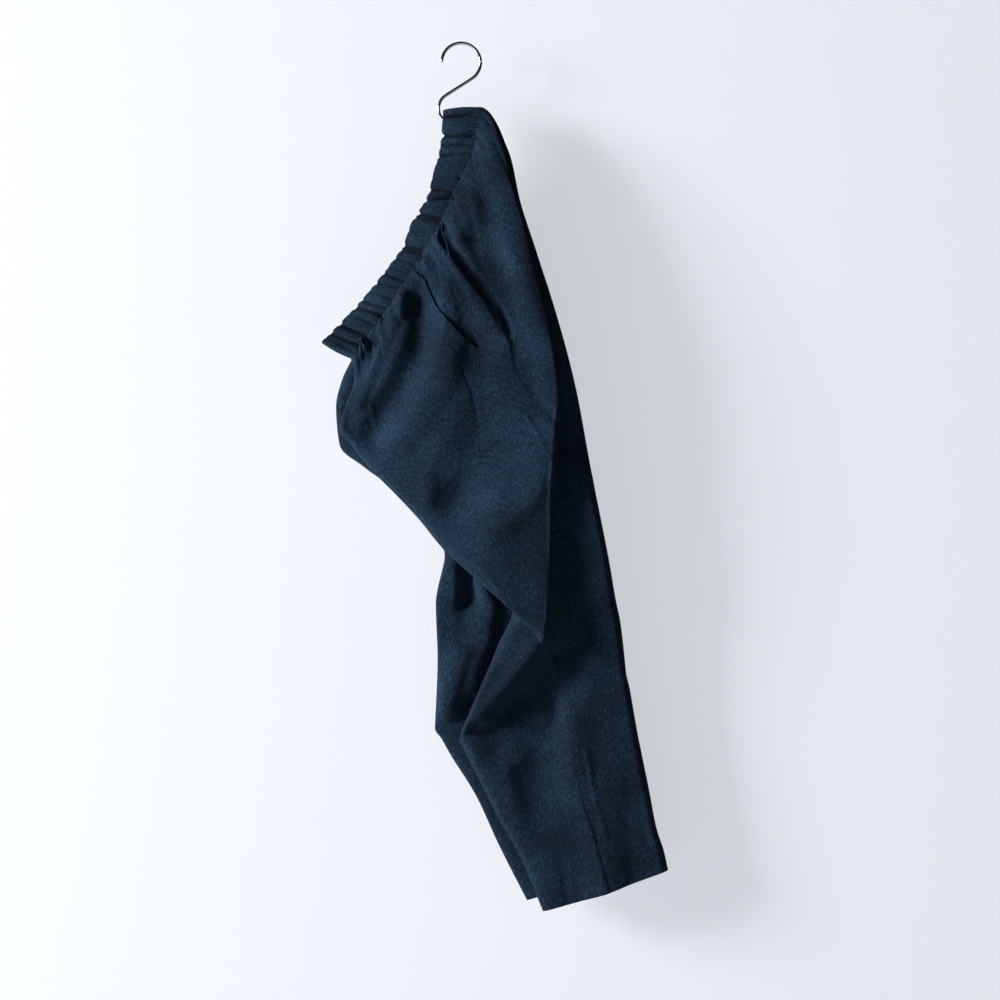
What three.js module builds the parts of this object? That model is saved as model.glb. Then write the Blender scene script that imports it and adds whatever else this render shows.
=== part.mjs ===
import * as THREE from 'three';

// Painter pants folded leg on leg, hanging by the back of the waist from an S-hook.
// Millimetres, +Z up. The origin is the inside top of the hook's upper loop, +X points
// from the front of the waist to the seat, and the left leg lies on the -Y side.

// Driving sizes of the cloth and the seams
const CLOTH = 1.4;
const CASING = 2.4;
const HEM_LAYERS = 2;
const HEM_ROWS = 2;
const SEAM_GAP = 0.4;
const BAND_GAP = 1.4;
const LAYER_GAP = 0.3;
const BAND_WIDTH = 38;
const GATHERS_EACH_SIDE = 14;
const GATHER_DEPTH = 1.2;
const POCKET_UNDERLAP = 10;
const POCKET_SINK = 2.5;

// Driving sizes of the S-hook, bent from one rod
const ROD = 3.5;
const UPPER_BEND = 22;
const LOWER_BEND = 17.5;
const LOWER_BEND_X = -8;
const LOWER_BEND_Z = -72.2;
const HOOK_SIDES = 10;
const HOOK_STEPS = 56;

// Form of the creases and of the step where the thigh laps over the back of the leg
const SEAT_BULGE = 7;
const CREASE_REACH = 9;
const CREASE_SHARE = 0.3;
const LAP_EDGE = 5;
const SHALLOWEST = 5;
const LAYER_REST = LAYER_GAP / 2 + CLOTH / 2;

// Waistband stations from the centre back to the centre front: the open edge, the seam
// edge, and how far each side of the ring stands from the middle plane
const BAND_COLUMNS = ['openX', 'openZ', 'seamX', 'seamZ', 'depth'];
const BAND_ROWS = {
  centreBack: [-20, -75, 19, -72, 3.6],
  besideHook: [-23, -113, 16, -108, 5.5],
  upperBack: [-31, -147, 3, -147, 9],
  back: [-37, -170, -5, -164, 10.5],
  side: [-56, -204, -17, -198, 12],
  sideFront: [-64, -226, -37, -234, 12],
  front: [-97, -272, -66, -277, 11],
  nearFront: [-127, -306, -92, -311, 9],
  centreFront: [-157, -336, -123, -354, 6],
};

// Sections of each leg from the waist to the hem. A section runs from the front crease
// to the lap and on to the back crease. Depths are measured from the middle plane out.
// frontInner and backInner: how much of the width the inner layer of each panel covers,
// together 1 where the leg is closed and the two meet at the inseam.
// seam and slash: where the side seam and the pocket opening lie, as shares of the width.
const LEG_COLUMNS = [
  'frontX', 'frontZ', 'lapX', 'lapZ', 'backX', 'backZ',
  'frontDepth', 'middleDepth', 'lapDepth', 'stripDepth', 'backDepth',
  'frontInner', 'backInner', 'seam', 'slash',
];
const LEFT_ROWS = {
  waist: [-123, -354, 18, -94, 21, -85, 8, 14, 13, 13, 12, 0.02, 0.02, 0.57, 0.34],
  yoke: [-120, -379, 41, -130, 52, -119, 9, 22, 21, 20, 17, 0.02, 0.02, 0.60, 0.44],
  highHip: [-136, -433, 64, -189, 67, -181, 12, 31, 29, 27, 20, 0.03, 0.03, 0.62, 0.535],
  hip: [-117, -460, 79, -250, 86, -240, 14, 35, 34, 29, 21, 0.1, 0.1, 0.63, 0.60],
  crotch: [-99, -482, 96, -317, 107, -306, 16, 39, 39, 31, 22, 0.5, 0.5, 0.625, 0.625],
  thigh: [-72, -509, 108, -407, 128, -385, 18, 42, 43, 31, 22, 0.5, 0.5, 0.72, 0.72],
  kneeTop: [-46, -537, 102, -503, 146, -481, 20, 44, 42, 29, 21, 0.45, 0.55, 0.85, 0.85],
  lobeEdge: [-17, -572, 93, -666, 166, -582, 22, 42, 38, 26, 20, 0.36, 0.64, 0.72, 0.72],
  tongueTop: [60, -632, 90, -674, 174, -628, 24, 31, 26, 22, 17, 0.33, 0.67, 0.61, 0.61],
  tongueHigh: [43, -678, 93, -676, 179, -652, 24, 31, 23, 20, 15, 0.33, 0.67, 0.60, 0.60],
  tongueLow: [14, -746, 93, -681, 183, -684, 22, 26, 20, 18, 12, 0.36, 0.64, 0.68, 0.68],
  tongueEdge: [0, -778, 93, -684, 186, -712, 16, 21, 17, 18, 11, 0.4, 0.6, 0.685, 0.685],
  underTongue: [-1, -785, 97, -690, 189, -724, 12, 17, 15, 18, 9, 0.4, 0.6, 0.69, 0.69],
  shinTop: [6, -799, 119, -780, 199, -780, 12, 20, 21, 21, 9, 0.45, 0.55, 0.62, 0.62],
  shin: [27, -842, 134, -854, 211, -839, 11, 19, 21, 20, 9, 0.5, 0.5, 0.60, 0.60],
  shinLow: [44, -876, 146, -888, 220, -885, 11, 18, 20, 19, 9, 0.5, 0.5, 0.59, 0.59],
  aboveHem: [67, -916, 154, -921, 228, -910, 10, 17, 19, 18, 9, 0.5, 0.5, 0.56, 0.56],
  hem: [93, -978, 164, -956, 233, -932, 10, 16, 18, 17, 9, 0.5, 0.5, 0.52, 0.52],
};
const RIGHT_ROWS = {
  waist: [-123, -354, -46, -232, 21, -85, 8, 13, 13, 13, 7, 0.02, 0.02, 0.57, 0.37],
  yoke: [-133, -376, -24, -232, 50, -119, 10, 19, 19, 18, 7, 0.02, 0.02, 0.60, 0.45],
  highHip: [-141, -410, -24, -289, 64, -184, 12, 24, 24, 22, 8, 0.03, 0.03, 0.62, 0.53],
  hip: [-137, -452, -12, -339, 82, -246, 14, 26, 26, 23, 8, 0.1, 0.1, 0.62, 0.58],
  crotch: [-108, -478, 10, -390, 104, -309, 15, 27, 27, 23, 8, 0.5, 0.5, 0.60, 0.60],
  thigh: [-63, -512, 33, -447, 124, -388, 16, 27, 27, 23, 9, 0.5, 0.5, 0.58, 0.58],
  kneeTop: [-33, -552, 55, -515, 142, -483, 16, 26, 26, 22, 9, 0.5, 0.5, 0.56, 0.56],
  rollTop: [-18, -578, 72, -578, 162, -577, 15, 24, 24, 21, 9, 0.5, 0.5, 0.55, 0.55],
  knee: [-28, -633, 72, -633, 172, -633, 15, 23, 23, 20, 9, 0.5, 0.5, 0.54, 0.54],
  roll: [-26, -695, 78, -695, 180, -695, 14, 22, 22, 20, 9, 0.5, 0.5, 0.53, 0.53],
  corner: [-29, -772, 84, -769, 193, -765, 12, 20, 20, 19, 9, 0.5, 0.5, 0.52, 0.52],
  shinTop: [-10, -805, 95, -805, 200, -805, 11, 19, 19, 18, 9, 0.5, 0.5, 0.52, 0.52],
  shin: [17, -848, 112, -848, 209, -842, 11, 18, 18, 18, 9, 0.5, 0.5, 0.52, 0.52],
  shinLow: [44, -906, 129, -902, 218, -894, 10, 17, 17, 17, 9, 0.5, 0.5, 0.52, 0.52],
  hem: [75, -967, 148, -944, 224, -924, 10, 16, 16, 16, 9, 0.5, 0.5, 0.52, 0.52],
};

// Large folds of the outer layers: the line that each follows, half its width, and how
// far it stands out. A trough has a height below zero.
const LEFT_FOLDS = {
  frontTrough: { along: [[-106, -326], [-118, -377], [-133, -447]], reach: 16, height: -8 },
  pocketTrough: { along: [[-58, -300], [-71, -339], [-86, -402]], reach: 20, height: -5 },
  thighRidge: { along: [[-35, -330], [-41, -402], [-35, -447]], reach: 22, height: 5 },
  middleTrough: { along: [[10, -366], [10, -475]], reach: 34, height: -6 },
  hipTrough: { along: [[-10, -235], [12, -262], [33, -289], [61, -345]], reach: 17, height: -8 },
  seatRidge: { along: [[30, -140], [44, -176], [61, -243], [78, -311], [90, -370]], reach: 18, height: 5 },
  seatHollow: { along: [[21, -198], [44, -289]], reach: 18, height: -4 },
  kneeRidge: { along: [[88, -460], [-8, -560]], reach: 26, height: 4 },
  kneeHollow: { along: [[62, -549], [66, -625]], reach: 30, height: -4 },
  shinRidge: { along: [[129, -800], [146, -854], [160, -905], [166, -945]], reach: 16, height: 3 },
};
const RIGHT_FOLDS = {
  seatTrough: { along: [[20, -180], [50, -280], [80, -380]], reach: 24, height: -5 },
  frontTrough: { along: [[-100, -350], [-90, -450]], reach: 22, height: -6 },
  thighRidge: { along: [[-10, -330], [20, -480]], reach: 26, height: 4 },
  kneeTrough: { along: [[150, -560], [40, -640], [-10, -650]], reach: 26, height: -6 },
  calfTrough: { along: [[150, -690], [60, -740], [0, -770]], reach: 22, height: -5 },
  shinRidge: { along: [[90, -810], [140, -930]], reach: 22, height: 3 },
};
// The inner layer of the right leg rolls forward where the left leg leaves it bare
const RIGHT_ROLL = {
  roll: { along: [[-7, -642], [-5, -675], [-11, -722], [-15, -745]], reach: 18, height: 12 },
};

// Rows of each mesh between two neighbouring sections, and columns of each panel
const LEFT_STEPS = [3, 2, 2, 2, 2, 2, 3, 1, 1, 2, 1, 1, 2, 2, 1, 1, 2];
const RIGHT_STEPS = [2, 2, 2, 1, 1, 1, 1, 2, 2, 2, 1, 1, 1, 2];
const LEFT_PANEL_COLUMNS = { front: 26, back: 22 };
const RIGHT_PANEL_COLUMNS = { front: 26, back: 20 };
const POCKET_COLUMNS = 8;
const BAND_RING_COLUMNS = 72;
const BAND_RING_ROWS = 4;
const END_CAP_COLUMNS = 4;
const SECTION_POINTS = 150;
const SLASH_END = 3.5;

const mix = (from, to, share) => from + (to - from) * share;
const clamp01 = (value) => Math.min(1, Math.max(0, value));
const ease = (value) => clamp01(value) ** 2 * (3 - 2 * clamp01(value));
const quarterRound = (value) => Math.sqrt(1 - (1 - clamp01(value)) ** 2);

// A curve through evenly spaced values that never swings past them
function steadyCurve(values) {
  const steps = values.slice(1).map((value, i) => value - values[i]);
  const slopes = values.map((value, i) => {
    if (i === 0) return steps[0];
    if (i === values.length - 1) return steps[i - 1];
    const before = steps[i - 1];
    const after = steps[i];
    return before * after <= 0 ? 0 : (2 * before * after) / (before + after);
  });
  return (place) => {
    const i = Math.min(values.length - 2, Math.max(0, Math.floor(place)));
    const k = place - i;
    const rise = steps[i];
    return values[i] + k * (slopes[i] + k * (3 * rise - 2 * slopes[i] - slopes[i + 1]
      + k * (slopes[i] + slopes[i + 1] - 2 * rise)));
  };
}

// Named curves, one for each column of a table
function tableCurves(columns, rows) {
  const entries = Object.values(rows);
  const curves = columns.map((name, i) => [name, steadyCurve(entries.map((row) => row[i]))]);
  return (place) => Object.fromEntries(curves.map(([name, curve]) => [name, curve(place)]));
}

// Height that the folds add at a place on the cloth, seen from the side
function foldHeight(folds, x, z) {
  let height = 0;
  for (const fold of Object.values(folds)) {
    let nearest = Infinity;
    for (let i = 1; i < fold.along.length; i += 1) {
      const [startX, startZ] = fold.along[i - 1];
      const runX = fold.along[i][0] - startX;
      const runZ = fold.along[i][1] - startZ;
      const share = clamp01(((x - startX) * runX + (z - startZ) * runZ) / (runX ** 2 + runZ ** 2));
      nearest = Math.min(nearest, Math.hypot(x - startX - share * runX, z - startZ - share * runZ));
    }
    if (nearest < fold.reach) height += fold.height * (1 - (nearest / fold.reach) ** 2) ** 2;
  }
  return height;
}

// Distance along a line of points up to each of them
function runningLength(line) {
  const lengths = [0];
  for (let i = 1; i < line.length; i += 1) {
    lengths.push(lengths[i - 1] + line[i].point.distanceTo(line[i - 1].point));
  }
  return lengths;
}

// Value found in a rising list, then read from a second list at the same place
function readAcross(rising, values, target) {
  let i = 1;
  while (i < rising.length - 1 && rising[i] < target) i += 1;
  const span = rising[i] - rising[i - 1];
  const share = span > 0 ? clamp01((target - rising[i - 1]) / span) : 0;
  return mix(values[i - 1], values[i], share);
}

function pointAtLength(line, lengths, length) {
  let i = 1;
  while (i < line.length - 1 && lengths[i] < length) i += 1;
  const span = lengths[i] - lengths[i - 1];
  const share = span > 0 ? (length - lengths[i - 1]) / span : 0;
  return {
    point: line[i - 1].point.clone().lerp(line[i].point, share),
    tag: mix(line[i - 1].tag, line[i].tag, share),
  };
}

// Places along a line from one length to another, closer together near the creases
function spacedLengths(from, to, count, creases) {
  const samples = 400;
  const total = [0];
  for (let i = 1; i <= samples; i += 1) {
    const length = mix(from, to, (i - 0.5) / samples);
    const crowding = creases.reduce((sum, crease) => sum + Math.exp(-(((length - crease) / 10) ** 2)), 0);
    total.push(total[i - 1] + 1 + 3.5 * crowding);
  }
  const places = total.map((_, i) => mix(from, to, i / samples));
  return Array.from({ length: count }, (_, i) => readAcross(total, places, (total[samples] * i) / (count - 1)));
}

// Closed wall round a grid of middle points, as thick as its two offsets
function wallGeometry(grid, outward, outerOffset, innerOffset, keepSide, closedRing = false) {
  const rowCount = grid.length;
  const columnCount = grid[0].length;
  const around = (c) => (closedRing ? (c + columnCount) % columnCount : Math.min(columnCount - 1, Math.max(0, c)));
  const positions = [];
  for (const layer of [outerOffset, innerOffset]) {
    for (let r = 0; r < rowCount; r += 1) {
      for (let c = 0; c < columnCount; c += 1) {
        const across = grid[r][around(c + 1)].clone().sub(grid[r][around(c - 1)]);
        const down = grid[Math.min(rowCount - 1, r + 1)][c].clone().sub(grid[Math.max(0, r - 1)][c]);
        const facing = outward(grid, r, c);
        const normal = across.clone().cross(down).normalize();
        if (normal.dot(facing) < 0) normal.negate();
        normal.addScaledVector(facing, 0.5).normalize();
        const spot = grid[r][c].clone().addScaledVector(normal, layer(r, c));
        keepSide(spot, grid[r][c]);
        positions.push(spot.x, spot.y, spot.z);
      }
    }
  }
  const index = [];
  const at = (layer, r, c) => layer * rowCount * columnCount + r * columnCount + (closedRing ? c % columnCount : c);
  const quad = (a, b, c, d) => index.push(a, b, c, a, c, d);
  const spans = closedRing ? columnCount : columnCount - 1;
  for (let r = 0; r < rowCount - 1; r += 1) {
    for (let c = 0; c < spans; c += 1) {
      quad(at(0, r, c), at(0, r, c + 1), at(0, r + 1, c + 1), at(0, r + 1, c));
      quad(at(1, r, c), at(1, r + 1, c), at(1, r + 1, c + 1), at(1, r, c + 1));
    }
  }
  for (let c = 0; c < spans; c += 1) {
    const last = rowCount - 1;
    quad(at(0, 0, c), at(1, 0, c), at(1, 0, c + 1), at(0, 0, c + 1));
    quad(at(0, last, c), at(0, last, c + 1), at(1, last, c + 1), at(1, last, c));
  }
  if (!closedRing) {
    for (let r = 0; r < rowCount - 1; r += 1) {
      const last = columnCount - 1;
      quad(at(0, r, 0), at(0, r + 1, 0), at(1, r + 1, 0), at(1, r, 0));
      quad(at(0, r, last), at(1, r, last), at(1, r + 1, last), at(0, r + 1, last));
    }
  }
  return facingOut(positions, index);
}

// Geometry whose faces point out of the solid
function facingOut(positions, index) {
  const corner = (i) => new THREE.Vector3(positions[3 * i], positions[3 * i + 1], positions[3 * i + 2]);
  let volume = 0;
  for (let i = 0; i < index.length; i += 3) {
    const [a, b, c] = [corner(index[i]), corner(index[i + 1]), corner(index[i + 2])];
    volume += a.dot(b.cross(c)) / 6;
  }
  if (volume < 0) index.reverse();
  const geometry = new THREE.BufferGeometry();
  geometry.setAttribute('position', new THREE.Float32BufferAttribute(positions, 3));
  geometry.setIndex(index);
  geometry.computeVertexNormals();
  return geometry;
}

// Waistband

const bandAt = tableCurves(BAND_COLUMNS, BAND_ROWS);
const BAND_LAST = Object.keys(BAND_ROWS).length - 1;

// One side of the band's ring, from the centre back to the centre front, at a place
// across its width: 0 is the open edge and 1 the seam edge
function bandLine(side, width, gathered) {
  const line = [];
  for (let i = 0; i <= SECTION_POINTS; i += 1) {
    const share = (1 - Math.cos((Math.PI * i) / SECTION_POINTS)) / 2;
    const row = bandAt(share * BAND_LAST);
    const point = new THREE.Vector3(mix(row.openX, row.seamX, width), 0, mix(row.openZ, row.seamZ, width));
    line.push({ point, tag: 0, depth: row.depth });
  }
  const lengths = runningLength(line);
  const total = lengths[SECTION_POINTS];
  line.forEach((entry, i) => {
    const fromEnd = Math.min(lengths[i], total - lengths[i]);
    const wave = gathered ? GATHER_DEPTH * ease((fromEnd - 8) / 18) : 0;
    const ripple = wave * Math.cos((2 * Math.PI * GATHERS_EACH_SIDE * lengths[i]) / total);
    entry.point.y = side * (entry.depth * quarterRound(fromEnd / entry.depth) + ripple);
    entry.tag = lengths[i] / total;
  });
  return line;
}

function makeWaistband() {
  const grid = [];
  for (let r = 0; r <= BAND_RING_ROWS; r += 1) {
    const ring = [];
    for (const side of [-1, 1]) {
      const line = bandLine(side, r / BAND_RING_ROWS, true);
      const lengths = runningLength(line);
      const total = lengths[SECTION_POINTS];
      const places = spacedLengths(0, total, BAND_RING_COLUMNS, [0, total]);
      const half = places.map((length) => pointAtLength(line, lengths, length).point);
      if (side > 0) half.reverse();
      ring.push(...half.slice(0, -1));
    }
    grid.push(ring);
  }
  const awayFromMiddle = (ring, r, c) => {
    const away = new THREE.Vector3(0, ring[r][c].y, 0);
    if (away.length() > ROD / 2) return away.normalize();
    const upwards = ring[r][0].clone().sub(ring[r][BAND_RING_COLUMNS - 1]).normalize();
    const atCentreBack = c < END_CAP_COLUMNS || c > ring[r].length - END_CAP_COLUMNS;
    return atCentreBack ? upwards : upwards.negate();
  };
  const outerOffset = () => CASING / 2;
  const innerOffset = () => -CASING / 2;
  return wallGeometry(grid, awayFromMiddle, outerOffset, innerOffset, () => {}, true);
}

// Leg sections

const LEFT = {
  side: -1, at: tableCurves(LEG_COLUMNS, LEFT_ROWS), folds: LEFT_FOLDS, roll: {},
  steps: LEFT_STEPS, columns: LEFT_PANEL_COLUMNS,
};
const RIGHT = {
  side: 1, at: tableCurves(LEG_COLUMNS, RIGHT_ROWS), folds: RIGHT_FOLDS, roll: RIGHT_ROLL,
  steps: RIGHT_STEPS, columns: RIGHT_PANEL_COLUMNS,
};

// Point of a section on its outer or inner layer, a distance in from the front crease
function sectionPoint(leg, row, distance, layer) {
  const front = new THREE.Vector3(row.frontX, 0, row.frontZ);
  const lap = new THREE.Vector3(row.lapX, 0, row.lapZ);
  const back = new THREE.Vector3(row.backX, 0, row.backZ);
  const toLap = front.distanceTo(lap);
  const beyond = lap.distanceTo(back);
  const width = toLap + beyond;
  const beforeLap = distance < toLap;
  const share = beforeLap ? distance / toLap : (distance - toLap) / beyond;
  const point = beforeLap ? front.lerp(lap, share) : lap.lerp(back, share);
  const bulge = row.frontDepth * (1 - share) * (1 - 2 * share)
    + row.middleDepth * 4 * share * (1 - share) + row.lapDepth * share * (2 * share - 1);
  const strip = mix(row.stripDepth, row.backDepth + 2, share);
  const pastLap = mix(row.lapDepth, strip, ease((distance - toLap) / LAP_EDGE));
  const base = beforeLap ? bulge : pastLap;
  const outer = Math.max(SHALLOWEST, base + foldHeight(leg.folds, point.x, point.z));
  const crease = mix(LAYER_REST, outer, CREASE_SHARE);
  const fullness = quarterRound(distance / CREASE_REACH) * quarterRound((width - distance) / CREASE_REACH);
  const level = layer === 'outer' ? outer : LAYER_REST - foldHeight(leg.roll, point.x, point.z);
  point.y = leg.side * mix(crease, level, fullness);
  return point;
}

// One section as a line of points from the front's inner edge, round the front crease,
// over the outer layer, round the back crease to the back's inner edge. The tag is 0 to 1
// over the outer layer.
function sectionLine(leg, place) {
  const row = leg.at(place);
  const width = Math.hypot(row.lapX - row.frontX, row.lapZ - row.frontZ)
    + Math.hypot(row.backX - row.lapX, row.backZ - row.lapZ);
  const line = [];
  const inSteps = 40;
  for (let i = inSteps; i > 0; i -= 1) {
    const distance = row.frontInner * width * (i / inSteps) ** 1.8;
    line.push({ point: sectionPoint(leg, row, distance, 'inner'), tag: -distance / width });
  }
  for (let i = 0; i <= SECTION_POINTS; i += 1) {
    const distance = (width * (1 - Math.cos((Math.PI * i) / SECTION_POINTS))) / 2;
    line.push({ point: sectionPoint(leg, row, distance, 'outer'), tag: distance / width });
  }
  for (let i = 1; i <= inSteps; i += 1) {
    const distance = row.backInner * width * (i / inSteps) ** 1.8;
    line.push({ point: sectionPoint(leg, row, width - distance, 'inner'), tag: 1 + distance / width });
  }
  if (place >= 1) return line;
  return blendWithBand(leg, line, ease(place));
}

// Between the waist seam and the first section the cloth turns from the band's ring, and
// beside the hook the seat stands a little proud of a straight line
function blendWithBand(leg, line, share) {
  const ring = bandLine(leg.side, 1 + BAND_GAP / BAND_WIDTH, false).reverse();
  ring.forEach((entry) => { entry.tag = 1 - entry.tag; });
  const ringLengths = runningLength(ring);
  const lengths = runningLength(line);
  const ringTotal = ringLengths[ring.length - 1];
  const total = lengths[line.length - 1];
  return line.map((entry, i) => {
    const onRing = pointAtLength(ring, ringLengths, (ringTotal * lengths[i]) / total);
    const point = onRing.point.lerp(entry.point, share);
    const bulge = SEAT_BULGE * 4 * share * (1 - share) * clamp01(onRing.tag) ** 5;
    point.x += bulge;
    point.z += bulge;
    return { point, tag: mix(onRing.tag, entry.tag, share) };
  });
}

// Where the front panel ends on the outer layer: at the pocket's slash, then the seam
function frontPanelEdge(row, place) {
  return place < SLASH_END ? mix(row.slash, row.seam, ease(place / SLASH_END) ** 6) : row.seam;
}

function rowPlaces(leg, last = leg.steps.length) {
  const places = [];
  leg.steps.forEach((steps, i) => {
    for (let k = 0; k < steps; k += 1) places.push(i + k / steps);
  });
  places.push(leg.steps.length);
  return places.filter((place) => place < last - 0.01).concat(last);
}

// Middle points of a panel between two edges, given as lengths along each section
function panelGrid(leg, places, count, edges) {
  return places.map((place) => {
    const row = leg.at(place);
    const line = sectionLine(leg, place);
    const lengths = runningLength(line);
    const tags = line.map((entry) => entry.tag);
    const lengthAt = (tag) => readAcross(tags, lengths, tag);
    const toLap = Math.hypot(row.lapX - row.frontX, row.lapZ - row.frontZ);
    const beyond = Math.hypot(row.backX - row.lapX, row.backZ - row.lapZ);
    const creases = [0, toLap / (toLap + beyond), 1].map(lengthAt);
    const [from, to] = edges(row, place, lengthAt, lengths[lengths.length - 1]);
    const spots = spacedLengths(from, to, count, creases);
    return spots.map((length) => pointAtLength(line, lengths, length).point);
  });
}

// Wall of a panel: its outer side faces away from the middle of its own section
function panelWall(leg, grid, sink, hemRows) {
  const facing = (points, r, c) => {
    const columns = points[r].length - 1;
    const before = points[r][Math.max(0, c - 1)];
    const after = points[r][Math.min(columns, c + 1)];
    const lead = after.clone().sub(before);
    const level = new THREE.Vector3(lead.x, 0, lead.z);
    const rowRun = rowDirection(points[r]);
    const alongRow = level.dot(rowRun);
    return new THREE.Vector3(rowRun.x * -lead.y, alongRow, rowRun.z * -lead.y)
      .normalize().multiplyScalar(leg.side);
  };
  const hem = (r) => r >= grid.length - hemRows;
  const outer = () => CLOTH / 2 - sink;
  const inner = (r) => -CLOTH / 2 - sink - (hem(r) ? CLOTH * (HEM_LAYERS - 1) : 0);
  const keepSide = (spot, middle) => {
    if (foldHeight(leg.roll, middle.x, middle.z) > 0.2) return;
    const rest = LAYER_GAP / 2;
    if (leg.side * spot.y < rest) spot.y = leg.side * rest;
  };
  return wallGeometry(grid, facing, outer, inner, keepSide);
}

// Direction of a row across the leg, from its front side to its back side
function rowDirection(points) {
  let farthest = points[0];
  let nearest = points[0];
  for (const point of points) {
    if (point.x - point.z * 0.2 > farthest.x - farthest.z * 0.2) farthest = point;
    if (point.x - point.z * 0.2 < nearest.x - nearest.z * 0.2) nearest = point;
  }
  return farthest.clone().sub(nearest).setY(0).normalize();
}

function makeFront(leg) {
  const places = rowPlaces(leg);
  const edges = (row, place, lengthAt) => [
    SEAM_GAP / 2,
    lengthAt(frontPanelEdge(row, place)) - (place < SLASH_END ? 0 : SEAM_GAP / 2),
  ];
  return panelWall(leg, panelGrid(leg, places, leg.columns.front, edges), 0, HEM_ROWS);
}

function makeBack(leg) {
  const places = rowPlaces(leg);
  const edges = (row, place, lengthAt, total) => [
    lengthAt(row.seam) + SEAM_GAP / 2,
    total - SEAM_GAP / 2,
  ];
  return panelWall(leg, panelGrid(leg, places, leg.columns.back, edges), 0, HEM_ROWS);
}

// Facing of the slash pocket: it lies under the front panel's cut edge and fills the
// opening up to the side seam
function makePocketFacing(leg) {
  const places = rowPlaces(leg, SLASH_END);
  const edges = (row, place, lengthAt) => [
    lengthAt(frontPanelEdge(row, place)) - POCKET_UNDERLAP,
    lengthAt(row.seam) - SEAM_GAP / 2,
  ];
  return panelWall(leg, panelGrid(leg, places, POCKET_COLUMNS, edges), POCKET_SINK, 0);
}

// S-hook: two open loops joined by a straight run that crosses between them

function hookPoints() {
  const upper = new THREE.Vector2(0, ROD / 2 - UPPER_BEND);
  const lower = new THREE.Vector2(LOWER_BEND_X, LOWER_BEND_Z);
  const between = lower.clone().sub(upper);
  const leave = between.angle() + Math.acos((UPPER_BEND + LOWER_BEND) / between.length());
  const arc = (centre, radius, from, to, steps) => Array.from({ length: steps + 1 }, (_, i) => {
    const angle = mix(from, to, i / steps);
    return new THREE.Vector3(centre.x + radius * Math.cos(angle), 0, centre.y + radius * Math.sin(angle));
  });
  const upperTip = Math.PI * 0.98;
  const lowerTip = leave - Math.PI + 2 * Math.PI * 0.63;
  return [
    ...arc(upper, UPPER_BEND, upperTip, leave - 2 * Math.PI, 26),
    ...arc(lower, LOWER_BEND, leave - Math.PI, lowerTip, 22),
  ];
}

function makeHook() {
  const path = new THREE.CatmullRomCurve3(hookPoints(), false, 'centripetal');
  const section = new THREE.Shape();
  for (let i = 0; i < HOOK_SIDES; i += 1) {
    const angle = (2 * Math.PI * i) / HOOK_SIDES;
    const corner = [(ROD / 2) * Math.cos(angle), (ROD / 2) * Math.sin(angle)];
    if (i === 0) section.moveTo(...corner);
    else section.lineTo(...corner);
  }
  return new THREE.ExtrudeGeometry(section, { steps: HOOK_STEPS, bevelEnabled: false, extrudePath: path });
}

// Materials and the assembled group

const clothMaterial = new THREE.MeshStandardMaterial({ color: 0x1c2a40, roughness: 0.9, metalness: 0 });
const bandMaterial = new THREE.MeshStandardMaterial({ color: 0x1a273c, roughness: 0.9, metalness: 0 });
const hookMaterial = new THREE.MeshStandardMaterial({ color: 0xc9ccd1, roughness: 0.18, metalness: 1 });

const pants = new THREE.Group();
function addPiece(name, geometry, material) {
  const mesh = new THREE.Mesh(geometry, material);
  mesh.name = name;
  pants.add(mesh);
}

addPiece('s_hook', makeHook(), hookMaterial);
addPiece('waistband', makeWaistband(), bandMaterial);
addPiece('left_front', makeFront(LEFT), clothMaterial);
addPiece('left_back', makeBack(LEFT), clothMaterial);
addPiece('right_front', makeFront(RIGHT), clothMaterial);
addPiece('right_back', makeBack(RIGHT), clothMaterial);
addPiece('left_pocket', makePocketFacing(LEFT), clothMaterial);
addPiece('right_pocket', makePocketFacing(RIGHT), clothMaterial);

export default pants;
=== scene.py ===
import math

import bpy
import numpy as np
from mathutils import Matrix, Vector


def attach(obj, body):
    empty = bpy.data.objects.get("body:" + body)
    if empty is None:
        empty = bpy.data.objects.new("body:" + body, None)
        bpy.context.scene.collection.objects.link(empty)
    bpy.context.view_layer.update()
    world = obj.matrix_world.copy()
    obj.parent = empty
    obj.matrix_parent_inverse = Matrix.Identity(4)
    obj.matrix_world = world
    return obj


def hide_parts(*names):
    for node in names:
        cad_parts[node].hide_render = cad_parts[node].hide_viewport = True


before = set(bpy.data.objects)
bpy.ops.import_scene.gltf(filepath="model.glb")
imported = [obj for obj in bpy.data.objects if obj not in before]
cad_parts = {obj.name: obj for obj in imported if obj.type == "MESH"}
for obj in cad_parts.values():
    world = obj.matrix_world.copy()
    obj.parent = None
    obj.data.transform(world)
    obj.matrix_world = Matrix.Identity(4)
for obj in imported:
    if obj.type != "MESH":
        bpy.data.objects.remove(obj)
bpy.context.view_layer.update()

# Camera, level with the middle of the trousers and square to the wall that they hang on.
# The picture is 1130 mm wide where the cloth hangs.
MM = 0.001
PICTURE_WIDTH = 1130 * MM
PICTURE_MIDDLE_X = 44 * MM
PICTURE_MIDDLE_Z = -514.6 * MM
LENS = 85
SENSOR = 36


def placed(name, data):
    made = bpy.data.objects.new(name, data)
    bpy.context.collection.objects.link(made)
    return made


camera_data = bpy.data.cameras.new("camera")
camera_data.lens = LENS
camera_data.sensor_width = SENSOR
camera = placed("camera", camera_data)
camera.location = (PICTURE_MIDDLE_X, -PICTURE_WIDTH * LENS / SENSOR, PICTURE_MIDDLE_Z)
camera.rotation_euler = (math.radians(90), 0, 0)
bpy.context.scene.camera = camera


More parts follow.
